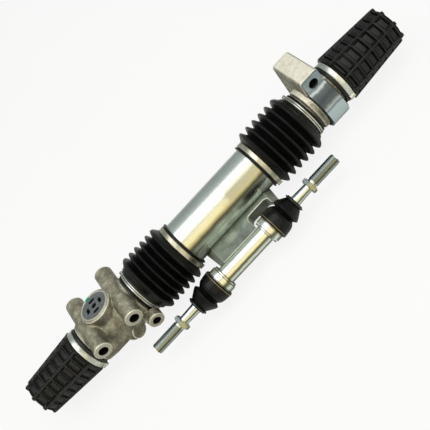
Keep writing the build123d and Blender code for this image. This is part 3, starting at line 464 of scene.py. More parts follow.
def zinc_tube_with_painted_reflections(name, cloud_size, line_size, highlight_dimmed_from=None, shade_rings_at=(), tone=(1, 1, 0.98)):
    """Zinc plate on a tube along X with painted reflection bands: grey, a white highlight, cream, dark olive
    and grey from upper rear to lower front.
    """
    s = Shade(name)
    cloud = s.noise(cloud_size, 4)
    lines = s.noise(line_size, 4, where=s.stretched(0.04, 1, 1))
    lean = s.math("MULTIPLY_ADD", cloud, 0.07, 0.465)
    # The colour bands set by facing are painted reflections and highlight.
    share = s.math("MULTIPLY_ADD", s.facing(LOWER_FRONT, "Normal"), 0.5, lean)
    base = s.ramp(share, (0.0, (0.52, 0.57, 0.55)), (0.2, (0.92, 0.98, 0.94)), (0.3, (0.84, 0.86, 0.85)),
                  (0.47, (0.84, 0.82, 0.68)), (0.58, (0.84, 0.78, 0.5)), (0.64, (0.45, 0.41, 0.24)),
                  (0.69, (0.11, 0.105, 0.07)), (0.75, (0.28, 0.3, 0.24)), (0.84, (0.88, 0.96, 0.86)),
                  (0.91, (0.46, 0.51, 0.46)), (0.96, (0.14, 0.16, 0.13)), (1.0, (0.1, 0.12, 0.1)))
    # From a station along X on, the painted highlight and cream bands are dimmed.
    if highlight_dimmed_from:
        place_on = s.spread(s.math("MULTIPLY_ADD", cloud, 0.03, s.axis("X")), highlight_dimmed_from, highlight_dimmed_from + 0.012)
        strip = s.ramp(share, (0.32, 0.0), (0.38, 0.75), (0.58, 0.75), (0.64, 0.0))
        base = s.mix(s.math("MULTIPLY", place_on, strip), base, (0.42, 0.4, 0.3))
    base = s.mix(s.ramp(s.noise(0.0013, 5, rough=0.8), (0.52, 0.0), (0.7, 0.4)), base, (0.3, 0.32, 0.28))
    # Thin dark rings at stations from the carrier's middle: painted shade at the flange steps.
    reach = s.math("ABSOLUTE", s.math("SUBTRACT", s.axis("X"), CARRIER_ORIGIN.x))
    for station in shade_rings_at:
        gap = s.math("ABSOLUTE", s.math("SUBTRACT", reach, station * MM))
        base = s.mix(s.spread(gap, 0.0006, 0.0002), base, (0.07, 0.075, 0.06))
    base = s.mix(1.0, base, tone, "MULTIPLY")
    rough = s.math("MULTIPLY_ADD", lines, 0.14, 0.2)
    return s.done(base, rough, 1.0, s.bump(lines, 0.00007, 0.5))


STRAP_BEND, STRAP_FOOT = 0.006, -0.030


def strap_zinc_painted_light():
    """Blue zinc plate with colour bands by height: painted shade under its upper bend, a painted highlight
    streak and a painted light lower facet.
    """
    s = Shade("strap_zinc_painted_light")
    cloud = s.noise(0.012, 4)
    lines = s.noise(0.0007, 3, where=s.stretched(0.05, 1, 1))
    wobble = s.math("MULTIPLY", s.math("SUBTRACT", cloud, 0.5), 0.14)
    # Bands down the strap by height: painted shade and painted highlights.
    drop = s.math("ADD", s.spread(s.axis("Z"), STRAP_BEND, STRAP_FOOT), wobble)
    base = s.ramp(drop, (0.0, (0.3, 0.38, 0.42)), (0.05, (0.62, 0.68, 0.7)), (0.1, (0.1, 0.12, 0.13)),
                  (0.28, (0.025, 0.03, 0.04)), (0.42, (0.07, 0.08, 0.09)), (0.52, (0.62, 0.67, 0.69)),
                  (0.59, (0.2, 0.25, 0.27)), (0.66, (0.6, 0.71, 0.75)), (1.0, (0.55, 0.67, 0.71)))
    base = s.mix(s.math("MULTIPLY", lines, 0.35), base, (0.2, 0.25, 0.28))
    return s.done(base, s.ramp(cloud, (0.3, 0.34), (0.7, 0.26)), 0.8, s.bump(lines, 0.00008, 0.35))


def plug_face(marks):
    """Die-cast plug: dark grey with small bright flecks, and near black below its top face as painted shade.
    """
    s = Shade("plug_metal")
    fleck = s.noise(0.0007, 3, rough=0.8)
    base = s.ramp(s.noise(0.005, 4), (0.3, (0.11, 0.12, 0.13)), (0.7, (0.2, 0.215, 0.225)))
    base = s.mix(s.ramp(fleck, (0.5, 0.0), (0.66, 0.85)), base, (0.42, 0.44, 0.45))
    # Below the top face, in the slots and down the sides, near black: painted shade.
    flat = s.math("GREATER_THAN", s.along(YOKE_ORIGIN, YOKE_DIR), PLUG_TOP - 0.0006)
    base = s.mix(flat, (0.05, 0.052, 0.055), base)
    base = s.marked(base, marks)
    return s.done(base, s.ramp(fleck, (0.3, 0.34), (0.7, 0.5)), 0.55, s.bump(fleck, 0.0001, 0.5))


def rubber(name, tone, rough, dust=0.0, sheen=0.4):
    """Black rubber with a soft sheen, faint mould texture and a little dust."""
    s = Shade(name)
    cloud = s.noise(0.009, 4)
    skin = s.noise(0.0008, 3)
    deep = tuple(tone * share for share in (0.75, 0.78, 0.82))
    pale = tuple(tone * share for share in (1.5, 1.5, 1.45))
    base = s.ramp(cloud, (0.3, deep), (0.72, pale))
    if dust:
        dusty = s.ramp(s.noise(0.004, 5, rough=0.7), (0.52, 0.0), (0.75, dust))
        base = s.mix(dusty, base, (0.09, 0.088, 0.075))
    gloss = s.ramp(s.math("ADD", s.math("MULTIPLY", cloud, 0.6), s.math("MULTIPLY", skin, 0.4)),
                   (0.35, rough * 0.85), (0.65, rough * 1.2))
    return s.done(base, gloss, 0.0, s.bump(skin, 0.00012, 0.4), Specular_IOR_Level=sheen)


def plastic(name, colour):
    """Moulded plastic with faint flow marks."""
    s = Shade(name)
    flow = s.noise(0.006, 3)
    base = s.ramp(flow, (0.3, tuple(c * 0.86 for c in colour)), (0.7, colour))
    skin = s.bump(s.noise(0.0006, 2), 0.00005, 0.3)
    return s.done(base, s.ramp(flow, (0.3, 0.4), (0.7, 0.48)), 0.0, skin)


def yellow_metal(name, colour, rough=0.3):
    """Brass or bronze with darker tarnish."""
    s = Shade(name)
    tarnish = s.noise(0.003, 4)
    base = s.ramp(tarnish, (0.35, tuple(c * 0.55 for c in colour)), (0.65, colour))
    skin = s.bump(s.noise(0.0007, 3), 0.00005, 0.4)
    return s.done(base, s.ramp(tarnish, (0.3, rough), (0.7, rough * 1.6)), 1.0, skin)


ALLOY = cast_alloy("cast_alloy_left", faced_left, (0.45, 0.435, 0.365), DABS, BOSS_BORES + [LUG_BORE])
# On the right casting the bright colour goes where light is painted: the foot's top and the neck.
ALLOY_RIGHT = cast_alloy("cast_alloy_right", painted_light_right, (1.0, 0.95, 0.82), shaded_bores=[STRAP_BORE])
ZINC = zinc_tube_with_painted_reflections("zinc_sleeve", 0.018, 0.0009, highlight_dimmed_from=0.177)
STRAP_ZINC = strap_zinc_painted_light()
BRACKET_ZINC = steel("bracket_zinc", (0.4, 0.44, 0.41), (0.19, 0.22, 0.2), 0.34, "X", patch=0.013,
                     edges=(0.9, 0.93, 0.82))
CARRIER_STEEL = zinc_tube_with_painted_reflections("carrier_steel", 0.008, 0.0006, shade_rings_at=(33.2, 35.3, 42.8))
STUD_STEEL = zinc_tube_with_painted_reflections("stud_steel", 0.008, 0.0006, tone=(0.86, 0.9, 0.93))
THREAD_STEEL = zinc_tube_with_painted_reflections("thread_steel", 0.005, 0.0006, tone=(0.5, 0.55, 0.56))
TURNED = steel("turned_steel", (0.66, 0.67, 0.64), (0.5, 0.51, 0.48), 0.25, "round")
GROUND = steel("ground_steel", (0.74, 0.75, 0.75), (0.62, 0.63, 0.63), 0.14, "X")
BAND = steel("band_steel", (0.68, 0.65, 0.53), (0.4, 0.375, 0.28), 0.3, "round", patch=0.012)
BAND_BRIGHT = steel("band_bright", (0.76, 0.77, 0.72), (0.5, 0.51, 0.46), 0.32, "round", patch=0.012)
PLUG = plug_face(DABS)
RUBBER = rubber("bellows_rubber", 0.0025, 0.34, sheen=0.3)
# The right boot's rubber is a darker copy of the left's: painted shade.
BOOT_RUBBER = {"left": rubber("boot_rubber_left", 0.0045, 0.42, dust=0.16, sheen=0.42),
               "right": rubber("boot_rubber_right", 0.0032, 0.38, dust=0.05, sheen=0.36)}
DUST_RUBBER = rubber("dust_boot_rubber", 0.002, 0.28, sheen=0.24)
SEAL_RUBBER = rubber("seal_rubber", 0.01, 0.5)
BRASS = yellow_metal("brass_wire", (0.5, 0.38, 0.2))
DARK_WIRE = steel("dark_wire", (0.1, 0.1, 0.095), (0.05, 0.05, 0.048), 0.35)
BRONZE = yellow_metal("bronze", (0.62, 0.42, 0.2), 0.35)
WHITE_PLASTIC = plastic("bearing_plastic", (0.72, 0.7, 0.62))

# CAD pieces that keep their own shape
KEPT = {
    "guide_tube": TURNED, "rack_bar": GROUND, "pinion_shaft": TURNED, "bearing_inner_ring": GROUND,
    "bearing_outer_ring": GROUND, "bearing_balls": GROUND, "pinion_front_bush": BRONZE,
    "pinion_seal": SEAL_RUBBER, "seal_retainer": TURNED, "rack_bush": WHITE_PLASTIC, "yoke_plunger": TURNED,
    "yoke_spring": TURNED, "yoke_plug": PLUG, "mounting_strap": STRAP_ZINC, "clamp_rubber": SEAL_RUBBER,
    "sliding_sleeve": ZINC, "left_guide_bush": WHITE_PLASTIC, "right_guide_bush": WHITE_PLASTIC,
    "drive_block": TURNED, "drive_bolts": TURNED, "rod_carrier": CARRIER_STEEL,
    "left_ball_seat": WHITE_PLASTIC, "right_ball_seat": WHITE_PLASTIC,
    "left_neck_clip": DARK_WIRE, "right_neck_clip": DARK_WIRE,
}
for node, material in KEPT.items():
    data = frame["nodes"][node].data
    data.materials.clear()
    data.materials.append(material)


# Castings

CASTING_VOXEL, FOOT_VOXEL, BRACKET_VOXEL = 0.85, 0.8, 0.55

# Machined places, in mm of the rack's frame
BOSS_CRISP_R, BOSS_CRISP_Y = 10.2, 43.5
LUG_CRISP_R, LUG_CRISP_Y = 9, 42.5
RIM_CRISP_R, RIM_CRISP_HEIGHT = 20.4, 34
LEFT_BODY = (-228.5, -146)
RIGHT_BODY = (150, 189.5)
FOOT_CRISP_Y = 44.2


def crisp_left(p):
    """Whether a point lies on a machined place of the left casting."""
    def within(bore, radius):
        x, z, _ = bore
        return (p.x - x) ** 2 + (p.z - z) ** 2 < radius ** 2

    boss = any(within(bore, BOSS_CRISP_R) for bore in BOSS_BORES) and abs(p.y) > BOSS_CRISP_Y
    lug = within(LUG_BORE, LUG_CRISP_R) and p.y < -LUG_CRISP_Y
    neck = p.x < LEFT_BODY[0] or p.x > LEFT_BODY[1]
    from_yoke = p - (YOKE_ORIGIN - RACK_ORIGIN) / MM
    height = from_yoke.dot(YOKE_DIR)
    rim = height > RIM_CRISP_HEIGHT and (from_yoke - YOKE_DIR * height).length < RIM_CRISP_R
    return neck or lug or boss or rim


def crisp_right(p):
    """Whether a point lies on a machined place of the right casting."""
    return p.x < RIGHT_BODY[0] or p.x > RIGHT_BODY[1] or p.y > FOOT_CRISP_Y


finish(softened("pinion_housing", "left_casting", CASTING_VOXEL, 8, crisp_left), "housing", "cast_alloy",
       ALLOY, "pinion_housing")
finish(softened("support_housing", "right_casting", FOOT_VOXEL, 7, crisp_right), "housing", "cast_alloy",
       ALLOY_RIGHT, "support_housing")
finish(softened("carrier_bracket", "pressed_bracket", BRACKET_VOXEL, 6, lambda p: False), "rack",
       "bracket_steel", BRACKET_ZINC, "carrier_bracket")


# Bellows: a cuff with a lip on the sleeve, rounded folds, and a shoulder down to the cuff on the casting
SLEEVE_R, NECK_R, CUFF_WALL = 30.1, 26.6, 2.3
CREST_R, ROOT_R, FOLDS = 41.0, 33.0, 6
FOLD_STEPS = 14
BELLOWS_WALL = 1.6
CLAMP = {"left": 140.5, "right": 145.5}
CUFF_START, CUFF_REACH = 62.0, 5.1
CUFF_OUTER = [(CUFF_START, 33.3), (CUFF_START + 0.5, 33.7), (CUFF_START + 1.4, 33.6), (CUFF_START + 2, 32.4),
              (71.6, 32.4), (73.2, 34.6), (75.0, 37.4), (76.6, 39.8)]
FIRST_CREST = {"left": 79.3, "right": 78.4}
FOLD_PITCH = {"left": 9.3, "right": 10.7}
SHOULDER = {
    "left": [(127.7, 40.5), (129.5, 39.0), (131.0, 37.0), (132.6, 35.3), (134.4, 34.4), (136.2, 34.0),
             (137.2, 32.6)],
    "right": [(134.0, 40.3), (135.7, 38.8), (137.2, 36.6), (138.5, 34.9), (139.9, 33.8), (141.2, 33.2),
              (141.9, 31.8)],
}


def bellows_section(name):
    """Closed (along, radius) section in mm of one side's bellows."""
    outer = list(CUFF_OUTER)
    for step in range((FOLDS - 1) * FOLD_STEPS + 1):
        folds = step / FOLD_STEPS
        wave = (0.5 + 0.5 * cos(2 * pi * folds)) ** 0.75
        along = FIRST_CREST[name] + folds * FOLD_PITCH[name]
        outer.append((along, ROOT_R + (CREST_R - ROOT_R) * wave))
    outer += SHOULDER[name]
    inner = [(x, max(r - BELLOWS_WALL, SLEEVE_R)) for x, r in outer]
    inner[0] = (CUFF_START, SLEEVE_R)
    last, _ = SHOULDER[name][-1]
    end, neck = CLAMP[name] + CUFF_REACH, NECK_R + CUFF_WALL
    outer += [(last + 0.5, neck), (end - 1.7, neck), (end - 1.2, neck + 1.2), (end, neck + 1.1)]
    inner += [(last + 0.5, NECK_R), (end, NECK_R)]
    return outer + inner[::-1]


for name, side in SIDES.items():
    bellows = turn(f"{name}_bellows_skin", bellows_section(name), RACK_ORIGIN, side, 128)
    finish(bellows, None, "black_rubber", RUBBER, f"{name}_bellows")
    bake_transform(bellows)


# Bands with a pinched ear, and double wires with twisted ends. The angles of ears and twists run from the
# rear over the top to the front, and stations and lengths are in mm.
CUFF_BAND_AT = 68.5
BOOT_BAND = {"left": -236.0, "right": 200.0}
BOOT_EAR = {"left": 225, "right": 201}
EAR_HALF = 6.5
WIRE_R, TWIST_R, WIRE_GAP, WIRE_SIDES = 1.15, 0.9, 2.6, 12
WIRE_SEAT = NECK_R + CUFF_WALL + WIRE_R + 0.1
TWIST = radians(52)
# The twist's middle line, in mm along the rack, outwards and round it
TWIST_LINE = [(-1.3, 0, -3), (-1.5, 1.2, -1.4), (-1.2, 2.8, 0.4), (0, 3.5, 1.2), (1.2, 2.8, 0.4),
              (1.5, 1.2, -1.4), (1.3, 0, -3)]


def band(name, body, middle, material, node, width, inner_r, thickness, ear=225, ear_rise=2.6):
    """Steel band round the rack with rolled edges and an ear of two humps, at an angle in degrees."""
    def rise(angle, along, radius):
        off = (degrees(angle) - ear + 180) % 360 - 180
        if abs(off) > EAR_HALF:
            return 0.0
        hump = 1 - abs(off / EAR_HALF) ** 4
        return ear_rise * hump * (1 - 0.45 * max(0.0, 1 - abs(off) / 1.8))

    half = width / 2
    profile = [
        (middle - half, inner_r), (middle - half, inner_r + thickness * 0.7),
        (middle - half + 0.35, inner_r + thickness), (middle - half + 0.9, inner_r + thickness * 0.82),
        (middle + half - 0.9, inner_r + thickness * 0.82), (middle + half - 0.35, inner_r + thickness),
        (middle + half, inner_r + thickness * 0.7), (middle + half, inner_r),
    ]
    return finish(turn(name, profile, RACK_ORIGIN, 1, 360, rise), body, "plated_band", material, node)


def double_wire(name, side):
    """Two rounds of wire on a bellows' cuff, and the twist of their ends."""
    middle = side * CLAMP[name]
    angles = [2 * pi * k / WIRE_SIDES for k in range(WIRE_SIDES)]
    for gap in (-WIRE_GAP / 2, WIRE_GAP / 2):
        circle = [(middle + gap + WIRE_R * cos(a), WIRE_SEAT + WIRE_R * sin(a)) for a in angles]
        which = "outer" if gap * side > 0 else "inner"
        wire = turn(f"{name}_wire_{which}", circle, RACK_ORIGIN, 1, 128)
        finish(wire, "housing", "plated_band", BAND_BRIGHT, f"{name}_wire_clamp")
    out = Vector((0, cos(TWIST), sin(TWIST)))
    across = Vector((0, -sin(TWIST), cos(TWIST)))
    line = []
    for x, outwards, tangent in TWIST_LINE:
        at = X_AXIS * (middle + x) + out * (WIRE_SEAT + outwards) + across * tangent
        line.append(RACK_ORIGIN + at * MM)
    finish(tube(f"{name}_wire_twist", line, TWIST_R), "housing", "plated_band", BAND_BRIGHT)


for name, side in SIDES.items():
    band(f"{name}_cuff_band", "rack", side * CUFF_BAND_AT, BAND, f"{name}_sleeve_band",
         width=6.0, inner_r=SLEEVE_R + CUFF_WALL + 0.1, thickness=1.0)
    band(f"{name}_boot_strap", "housing", BOOT_BAND[name], BAND_BRIGHT, f"{name}_boot_band",
         width=7.0, inner_r=28.15, thickness=1.1, ear=BOOT_EAR[name], ear_rise=2.9)
    double_wire(name, side)


# End boots: eight rails along the body, ribs across it, and a pad in each cell. Lengths in mm.
BOOT_ENDS = {"left": 319.0, "right": 292.0}
BOOT_TOP = {"left": 31.8, "right": 33.2}
BOOT_TAPER = {"left": 0.0765, "right": 0.0715}
BOOT_CUFF_R, BOOT_WALL = 28.0, 3.0
BOOT_LIP, BOOT_START = 7.5, 3.8
BOOT_SEGMENTS, BOOT_STEP = 256, 0.5
BOOT_RAILS = 8
RAIL_STEP = 360 / BOOT_RAILS
RAIL_ANGLE = {"left": 31.0, "right": 12.3}
RIB_AT = {"left": -249.8, "right": 213.0}
RIB_PITCH = {"left": 11.35, "right": 12.45}
RAIL_HEIGHT, RIB_HEIGHT, PAD_HEIGHT = 3.4, 2.8, 1.2
# Knobs stand on the rails at the tip, where the skin between them drops away
KNOB_HALF, KNOB_SLOPE, TIP_DROP, KNOB_DROP = 2.0, 1.6, 3.2, 0.4
# Rings of the closed end: mm past the end, and share of the radius
TIP_RINGS = [(0.1, 0.93), (-0.3, 0.8), (0.1, 0.72), (0.1, 0.2)]


def smooth_step(low, high, value):
    """0 below low, 1 above high, smooth between."""
    t = min(1.0, max(0.0, (value - low) / (high - low)))
    return t * t * (3 - 2 * t)


def ridge(distance, half, slope):
    """1 within half a width of a line, falling to 0 over a slope."""
    return 1 - smooth_step(half, half + slope, abs(distance))


def boot_relief(from_rail, from_rib, pitch):
    """Depth under the tops of the rails, by mm from the next rail and mm past the last rib."""
    before = pitch - from_rib
    rail = ridge(from_rail, 1.2, 0.8)
    rib = max(ridge(from_rib, 0.7, 0.5), ridge(before, 0.7, 0.5))
    pad = smooth_step(2.2, 4.0, from_rib) * smooth_step(1.4, 3.2, before) * smooth_step(2.4, 4.4, from_rail)
    return RAIL_HEIGHT - max(RAIL_HEIGHT * rail, RIB_HEIGHT * rib, PAD_HEIGHT * pad)


def boot_top(name, along):
    """Radius over the rails of one end boot at a station."""
    band_x = abs(BOOT_BAND[name])
    start = band_x + BOOT_START
    top = BOOT_TOP[name] - BOOT_TAPER[name] * (along - band_x - 4)
    return BOOT_CUFF_R + (top - BOOT_CUFF_R) * smooth_step(start - 0.6, start + 1.6, along)


def boot_skin(name, side, along):
    """Outer radii of one end boot at a station, all the way round."""
    start, end = abs(BOOT_BAND[name]) + BOOT_START, BOOT_ENDS[name]
    top = boot_top(name, along)
    onto_body = smooth_step(start + 1.5, start + 4, along)
    near_tip, into_tip = smooth_step(end - 6, end - 3, along), smooth_step(end - 3.0, end, along)
    from_rib = (side * along - RIB_AT[name]) % RIB_PITCH[name]
    radii = []
    for i in range(BOOT_SEGMENTS):
        degree = 360 * i / BOOT_SEGMENTS * side
        from_rail = abs((degree - RAIL_ANGLE[name] + RAIL_STEP / 2) % RAIL_STEP - RAIL_STEP / 2)
        arc = radians(from_rail) * top
        flat = 1 - 0.5 * (1 - cos(pi / BOOT_RAILS) / cos(pi / BOOT_RAILS - radians(from_rail)))
        knob = ridge(arc, KNOB_HALF, KNOB_SLOPE)
        relief = boot_relief(arc, from_rib, RIB_PITCH[name]) * onto_body * (1 - knob * near_tip)
        drop = TIP_DROP - (TIP_DROP - KNOB_DROP) * knob
        radii.append(top * flat - relief - into_tip * drop)
    return radii


def end_boot(name, side):
    """Hollow end boot, from the closed end's inside back to its cuff and out over the ribs to the tip."""
    band_x, end = abs(BOOT_BAND[name]), BOOT_ENDS[name]
    start = band_x + BOOT_START
    rings = [(along, [radius] * BOOT_SEGMENTS) for along, radius in (
        (end - BOOT_WALL, BOOT_WALL), (end - BOOT_WALL, 20.5), (start + 6, 26.2), (start + 3, 24.7),
        (band_x - BOOT_LIP, 24.7), (band_x - BOOT_LIP, 27.5), (band_x - 7.0, BOOT_CUFF_R),
        (start - 0.4, BOOT_CUFF_R),
    )]
    steps = int((end - start) / BOOT_STEP)
    for step in range(steps + 1):
        along = start + (end - start) * step / steps
        rings.append((along, boot_skin(name, side, along)))
    tip = boot_top(name, end) - 4
    rings += [(end + back, [tip * share] * BOOT_SEGMENTS) for back, share in TIP_RINGS]

    outwards = [around(side, 2 * pi * i / BOOT_SEGMENTS) for i in range(BOOT_SEGMENTS)]
    verts, faces = [], []
    for along, radii in rings:
        for out, radius in zip(outwards, radii):
            verts.append(RACK_ORIGIN + (X_AXIS * side * along + out * radius) * MM)
    for ring in range(len(rings) - 1):
        low, high = ring * BOOT_SEGMENTS, (ring + 1) * BOOT_SEGMENTS
        for i in range(BOOT_SEGMENTS):
            j = (i + 1) % BOOT_SEGMENTS
            faces.append((low + i, low + j, high + j, high + i))
    faces.append(tuple(range(BOOT_SEGMENTS)))
    faces.append(tuple(range(len(verts) - BOOT_SEGMENTS, len(verts))))
    boot = place(f"{name}_ribbed_boot", verts, faces)
    face_out(boot)
    return boot


for name, side in SIDES.items():
    finish(end_boot(name, side), "housing", "black_rubber", BOOT_RUBBER[name], f"{name}_end_boot")


# Dust boots in two halves, a base and a neck
DUST_WAIST = 63.5
BASE_OUTER = [(43.6, 18.2), (43.8, 18.8), (45.2, 19.3), (47.4, 19.3), (50, 19.1), (53.5, 18.7),
              (56.8, 18.1), (59.8, 16.9), (62.2, 14.9), (DUST_WAIST, 13.9)]
BASE_INNER = [(DUST_WAIST, 12.4), (61.9, 13.4), (59.4, 15.2), (56.4, 16.4), (53.4, 16.8), (53.3, 17.1),
              (43.6, 17.1)]
NECK_OUTER = [(DUST_WAIST, 13.9), (64.2, 14.6), (65.4, 16.5), (66.4, 17.7), (67.1, 18.0), (67.9, 17.7),
              (70.6, 16.4), (74.5, 14.0), (77.8, 12.0), (78.8, 11.2), (79.8, 10.9), (81.9, 10.9),
              (82.3, 11.2), (83.0, 11.0)]
NECK_INNER = [(83.0, 7.1), (78.0, 7.2), (74.3, 10.8), (70.0, 13.9), (67.2, 15.6), (65.3, 14.2),
              (DUST_WAIST, 12.4)]
BASE_WIRE_AT, BASE_WIRE_RING, BASE_WIRE_R = 46.25, 19.2, 0.45

for name, side in SIDES.items():
    halves = (
        ("base", BASE_OUTER, BASE_INNER, "rack", f"{name}_boot", (46.5, DUST_WAIST - 1)),
        ("neck", NECK_OUTER, NECK_INNER, f"{name}_boot", f"{name}_clip", (DUST_WAIST, 79.0)),
    )
    for half, outer, inner, near, far, span in halves:
        profile = curve_through(outer) + curve_through(inner, 3)
        piece = turn(f"{name}_dust_{half}", profile, CARRIER_ORIGIN, side)
        finish(piece, None, "black_rubber", DUST_RUBBER, f"{name}_dust_boot")
        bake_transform(piece)
    circle = [(BASE_WIRE_AT + BASE_WIRE_R * cos(a), BASE_WIRE_RING + BASE_WIRE_R * sin(a))
              for a in (pi * k / 6 for k in range(12))]
    wire = turn(f"{name}_base_wire", circle, CARRIER_ORIGIN, side, 128)
    finish(wire, "rack", "brass_wire", BRASS, f"{name}_base_clip")


# Ball studs with a chamfered hexagon and a cut thread
BALL_R, BALL_CENTRE, STUD_NECK = 9.5, 47.5, 5.6
HEX_START, HEX_END, HEX_FLATS = 104.5, 110.5, 19.0
THREAD_R, THREAD_DEPTH, THREAD_PITCH = 7.0, 0.35, 1.5
THREAD_START, THREAD_END = HEX_END + 3.0, 150.5
THREAD_SIDES = 40


def thread_mesh(name, side):
    """Skin of a helical thread with a chamfered end."""
    rows = (int((THREAD_END - THREAD_START) / THREAD_PITCH) + 1) * 4 + 1
    verts, faces = [], []
    for row in range(rows):
        for i in range(THREAD_SIDES):
            along = THREAD_START - THREAD_PITCH + (row / 4 + i / THREAD_SIDES) * THREAD_PITCH
            along = min(max(along, THREAD_START - 0.2), THREAD_END)
            crest = (1, 0.5, 0, 0.5)[row % 4]
            radius = THREAD_R - THREAD_DEPTH * (1 - crest)
            radius -= 1.1 * smooth_step(THREAD_END - 1.5, THREAD_END, along)
            out = around(1, 2 * pi * i / THREAD_SIDES)
            verts.append(CARRIER_ORIGIN + (X_AXIS * side * along + out * radius) * MM)
    for row in range(rows - 1):
        for i in range(THREAD_SIDES - 1):
            a, b = row * THREAD_SIDES + i, (row + 1) * THREAD_SIDES + i
            faces.append((a, a + 1, b + 1, b))
        a, b = row * THREAD_SIDES + THREAD_SIDES - 1, (row + 1) * THREAD_SIDES
        if row + 2 < rows:
            faces.append((a, b, b + THREAD_SIDES, a + THREAD_SIDES))
    return place(name, verts, faces)


def stud_meshes(name, side):
    """Ball and shank, hexagon, thread and the core under the thread."""
    ball = [(BALL_CENTRE - BALL_R * cos(a), BALL_R * sin(a)) for a in (k * pi / 24 for k in range(20))]
    shank = ball + [(BALL_CENTRE + 8.3, STUD_NECK), (69.5, STUD_NECK), (75, 6.8), (85, 6.8), (86, 6.6),
                    (HEX_START - 1, 5.9), (HEX_START + 1, 5.9), (HEX_START + 1, 0)]
    hexagon = [(HEX_START, 0), (HEX_START, 8.8), (HEX_START + 0.9, 10.97), (HEX_END - 0.9, 10.97),
               (HEX_END, 8.8), (HEX_END, 6.4), (THREAD_START, 6.2), (THREAD_START, 0)]
    root = THREAD_R - THREAD_DEPTH
    core = [(THREAD_START - 0.2, 0), (THREAD_START - 0.2, root), (THREAD_END, root - 0.35), (THREAD_END, 0)]

    def six(angle, along, radius):
        facet = (angle % (pi / 3)) - pi / 6
        return min(radius, HEX_FLATS / 2 / cos(facet)) - radius if radius > 7 else 0

    return [
        turn(name, shank, CARRIER_ORIGIN, side, 64),
        turn(name + "_hex", hexagon, CARRIER_ORIGIN, side, 96, six),
        thread_mesh(name + "_thread", side),
        turn(name + "_core", core, CARRIER_ORIGIN, side, 48),
    ]


for name, side in SIDES.items():
    for piece in stud_meshes(f"{name}_rod_stud", side):
        metal = THREAD_STEEL if "thread" in piece.name else STUD_STEEL
        finish(piece, f"{name}_stud", "machined_steel", metal, f"{name}_ball_stud")


# Floor, light and camera
FLOOR_SIZE, FLOOR_WHITE = 12, 0.86
LAMP_AIM = Vector((0.16, 0, 0))


def floor():
    """Pale floor under the object, near white to the camera, with the object's soft shadow."""
    bpy.ops.mesh.primitive_plane_add(size=FLOOR_SIZE, location=(RACK_ORIGIN.x, 0, CAD_BOX[0].z))
    ground = bpy.context.object
    ground.name = "floor"
    s = Shade("floor_white")
    ray = s.tree.nodes.new("ShaderNodeLightPath")
    s.done(s.ramp(s.noise(0.4, 2), (0.3, (0.76, 0.76, 0.75)), (0.7, (0.8, 0.8, 0.79))), 0.9)
    glow = s.node("Emission", Color=(1, 1, 1, 1), Strength=1.0)
    mixed = s.node("MixShader", Fac=s.math("MULTIPLY", ray.outputs["Is Camera Ray"], FLOOR_WHITE))
    s.link(mixed.inputs[1], s.bsdf.outputs["BSDF"])
    s.link(mixed.inputs[2], glow.outputs["Emission"])
    s.tree.links.new(mixed.outputs["Shader"], s.tree.nodes["Material Output"].inputs["Surface"])
    ground.data.materials.append(s.material)


def lamp(name, at, size, power, colour=(1, 1, 1)):
    """Rectangular area light at a place, turned towards the object."""
    light = bpy.data.lights.new(name, "AREA")
    light.shape = "RECTANGLE"
    light.size, light.size_y = size
    light.energy = power
    light.color = colour
    made = bpy.data.objects.new(name, light)
    made.location = at
    made.rotation_euler = (LAMP_AIM - Vector(at)).to_track_quat("-Z", "Y").to_euler()
    bpy.context.scene.collection.objects.link(made)


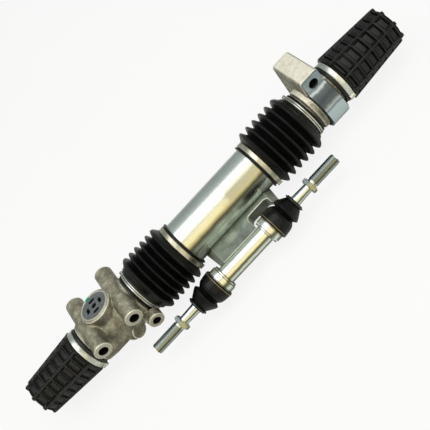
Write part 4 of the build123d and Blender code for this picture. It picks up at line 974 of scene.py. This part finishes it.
def world():
    """Studio round the object: white to the camera, and as light warm in front and grey behind."""
    made = bpy.data.worlds.new("studio")
    bpy.context.scene.world = made
    made.use_nodes = True
    tree = made.node_tree
    back = tree.nodes["Background"]
    ray = tree.nodes.new("ShaderNodeLightPath")
    direction = tree.nodes.new("ShaderNodeTexCoord")
    parts = tree.nodes.new("ShaderNodeSeparateXYZ")
    ramp = tree.nodes.new("ShaderNodeValToRGB")
    spread = tree.nodes.new("ShaderNodeMapRange")
    mixed = tree.nodes.new("ShaderNodeMix")
    mixed.data_type = "RGBA"
    tree.links.new(direction.outputs["Generated"], parts.inputs["Vector"])
    tree.links.new(parts.outputs["Y"], spread.inputs["Value"])
    spread.inputs["From Min"].default_value = -1.0
    tree.links.new(spread.outputs["Result"], ramp.inputs["Fac"])
    stops = ((0.1, (0.5, 0.47, 0.35)), (0.62, (0.36, 0.39, 0.38)))
    for element, (at, colour) in zip(ramp.color_ramp.elements, stops):
        element.position = at
        element.color = (*colour, 1)
    tree.links.new(ray.outputs["Is Camera Ray"], mixed.inputs["Factor"])
    tree.links.new(ramp.outputs["Color"], mixed.inputs[6])
    mixed.inputs[7].default_value = (1, 1, 1, 1)
    tree.links.new(mixed.outputs[2], back.inputs["Color"])
    back.inputs["Strength"].default_value = 1.0


# The photograph's camera: the rack lies at PICTURE_ANGLE in the picture, seen from ELEVATION above. The
# sleeve's middle lies OFFSET pixels off the picture's middle, along the rack and across it.
PHOTO_SIZE, FOCAL_PIXELS = 430, 737.0
PICTURE_ANGLE, ELEVATION, AZIMUTH = radians(47.16), radians(45.0), radians(2.1)
DISTANCE = 0.884
OFFSET_ALONG, OFFSET_ACROSS = 10.6, -3.1
SENSOR = 36.0


def camera():
    """Camera at the photograph's viewpoint."""
    to_camera = Vector((sin(AZIMUTH), -cos(AZIMUTH) * cos(ELEVATION), cos(AZIMUTH) * sin(ELEVATION)))
    along = (X_AXIS - to_camera * X_AXIS.dot(to_camera)).normalized()
    across = along.cross(to_camera)
    right = along * cos(PICTURE_ANGLE) + across * sin(PICTURE_ANGLE)
    up = along * sin(PICTURE_ANGLE) - across * cos(PICTURE_ANGLE)
    shift = along * OFFSET_ALONG + across * OFFSET_ACROSS
    data = bpy.data.cameras.new("camera")
    data.sensor_width = SENSOR
    data.lens = FOCAL_PIXELS / PHOTO_SIZE * SENSOR
    made = bpy.data.objects.new("camera", data)
    turn_to = Matrix((right, up, to_camera)).transposed().to_4x4()
    where = RACK_ORIGIN + to_camera * DISTANCE - shift * (DISTANCE / FOCAL_PIXELS)
    made.matrix_world = Matrix.Translation(where) @ turn_to
    bpy.context.scene.collection.objects.link(made)
    bpy.context.scene.camera = made


floor()
lamp("overhead", (0.12, -0.12, 1.2), (1.9, 1.0), 10.5)
lamp("front_card", (0.18, -1.15, 0.66), (1.9, 1.1), 4.5, (1.0, 0.95, 0.8))
world()
camera()
bpy.context.scene.view_settings.view_transform = "Standard"
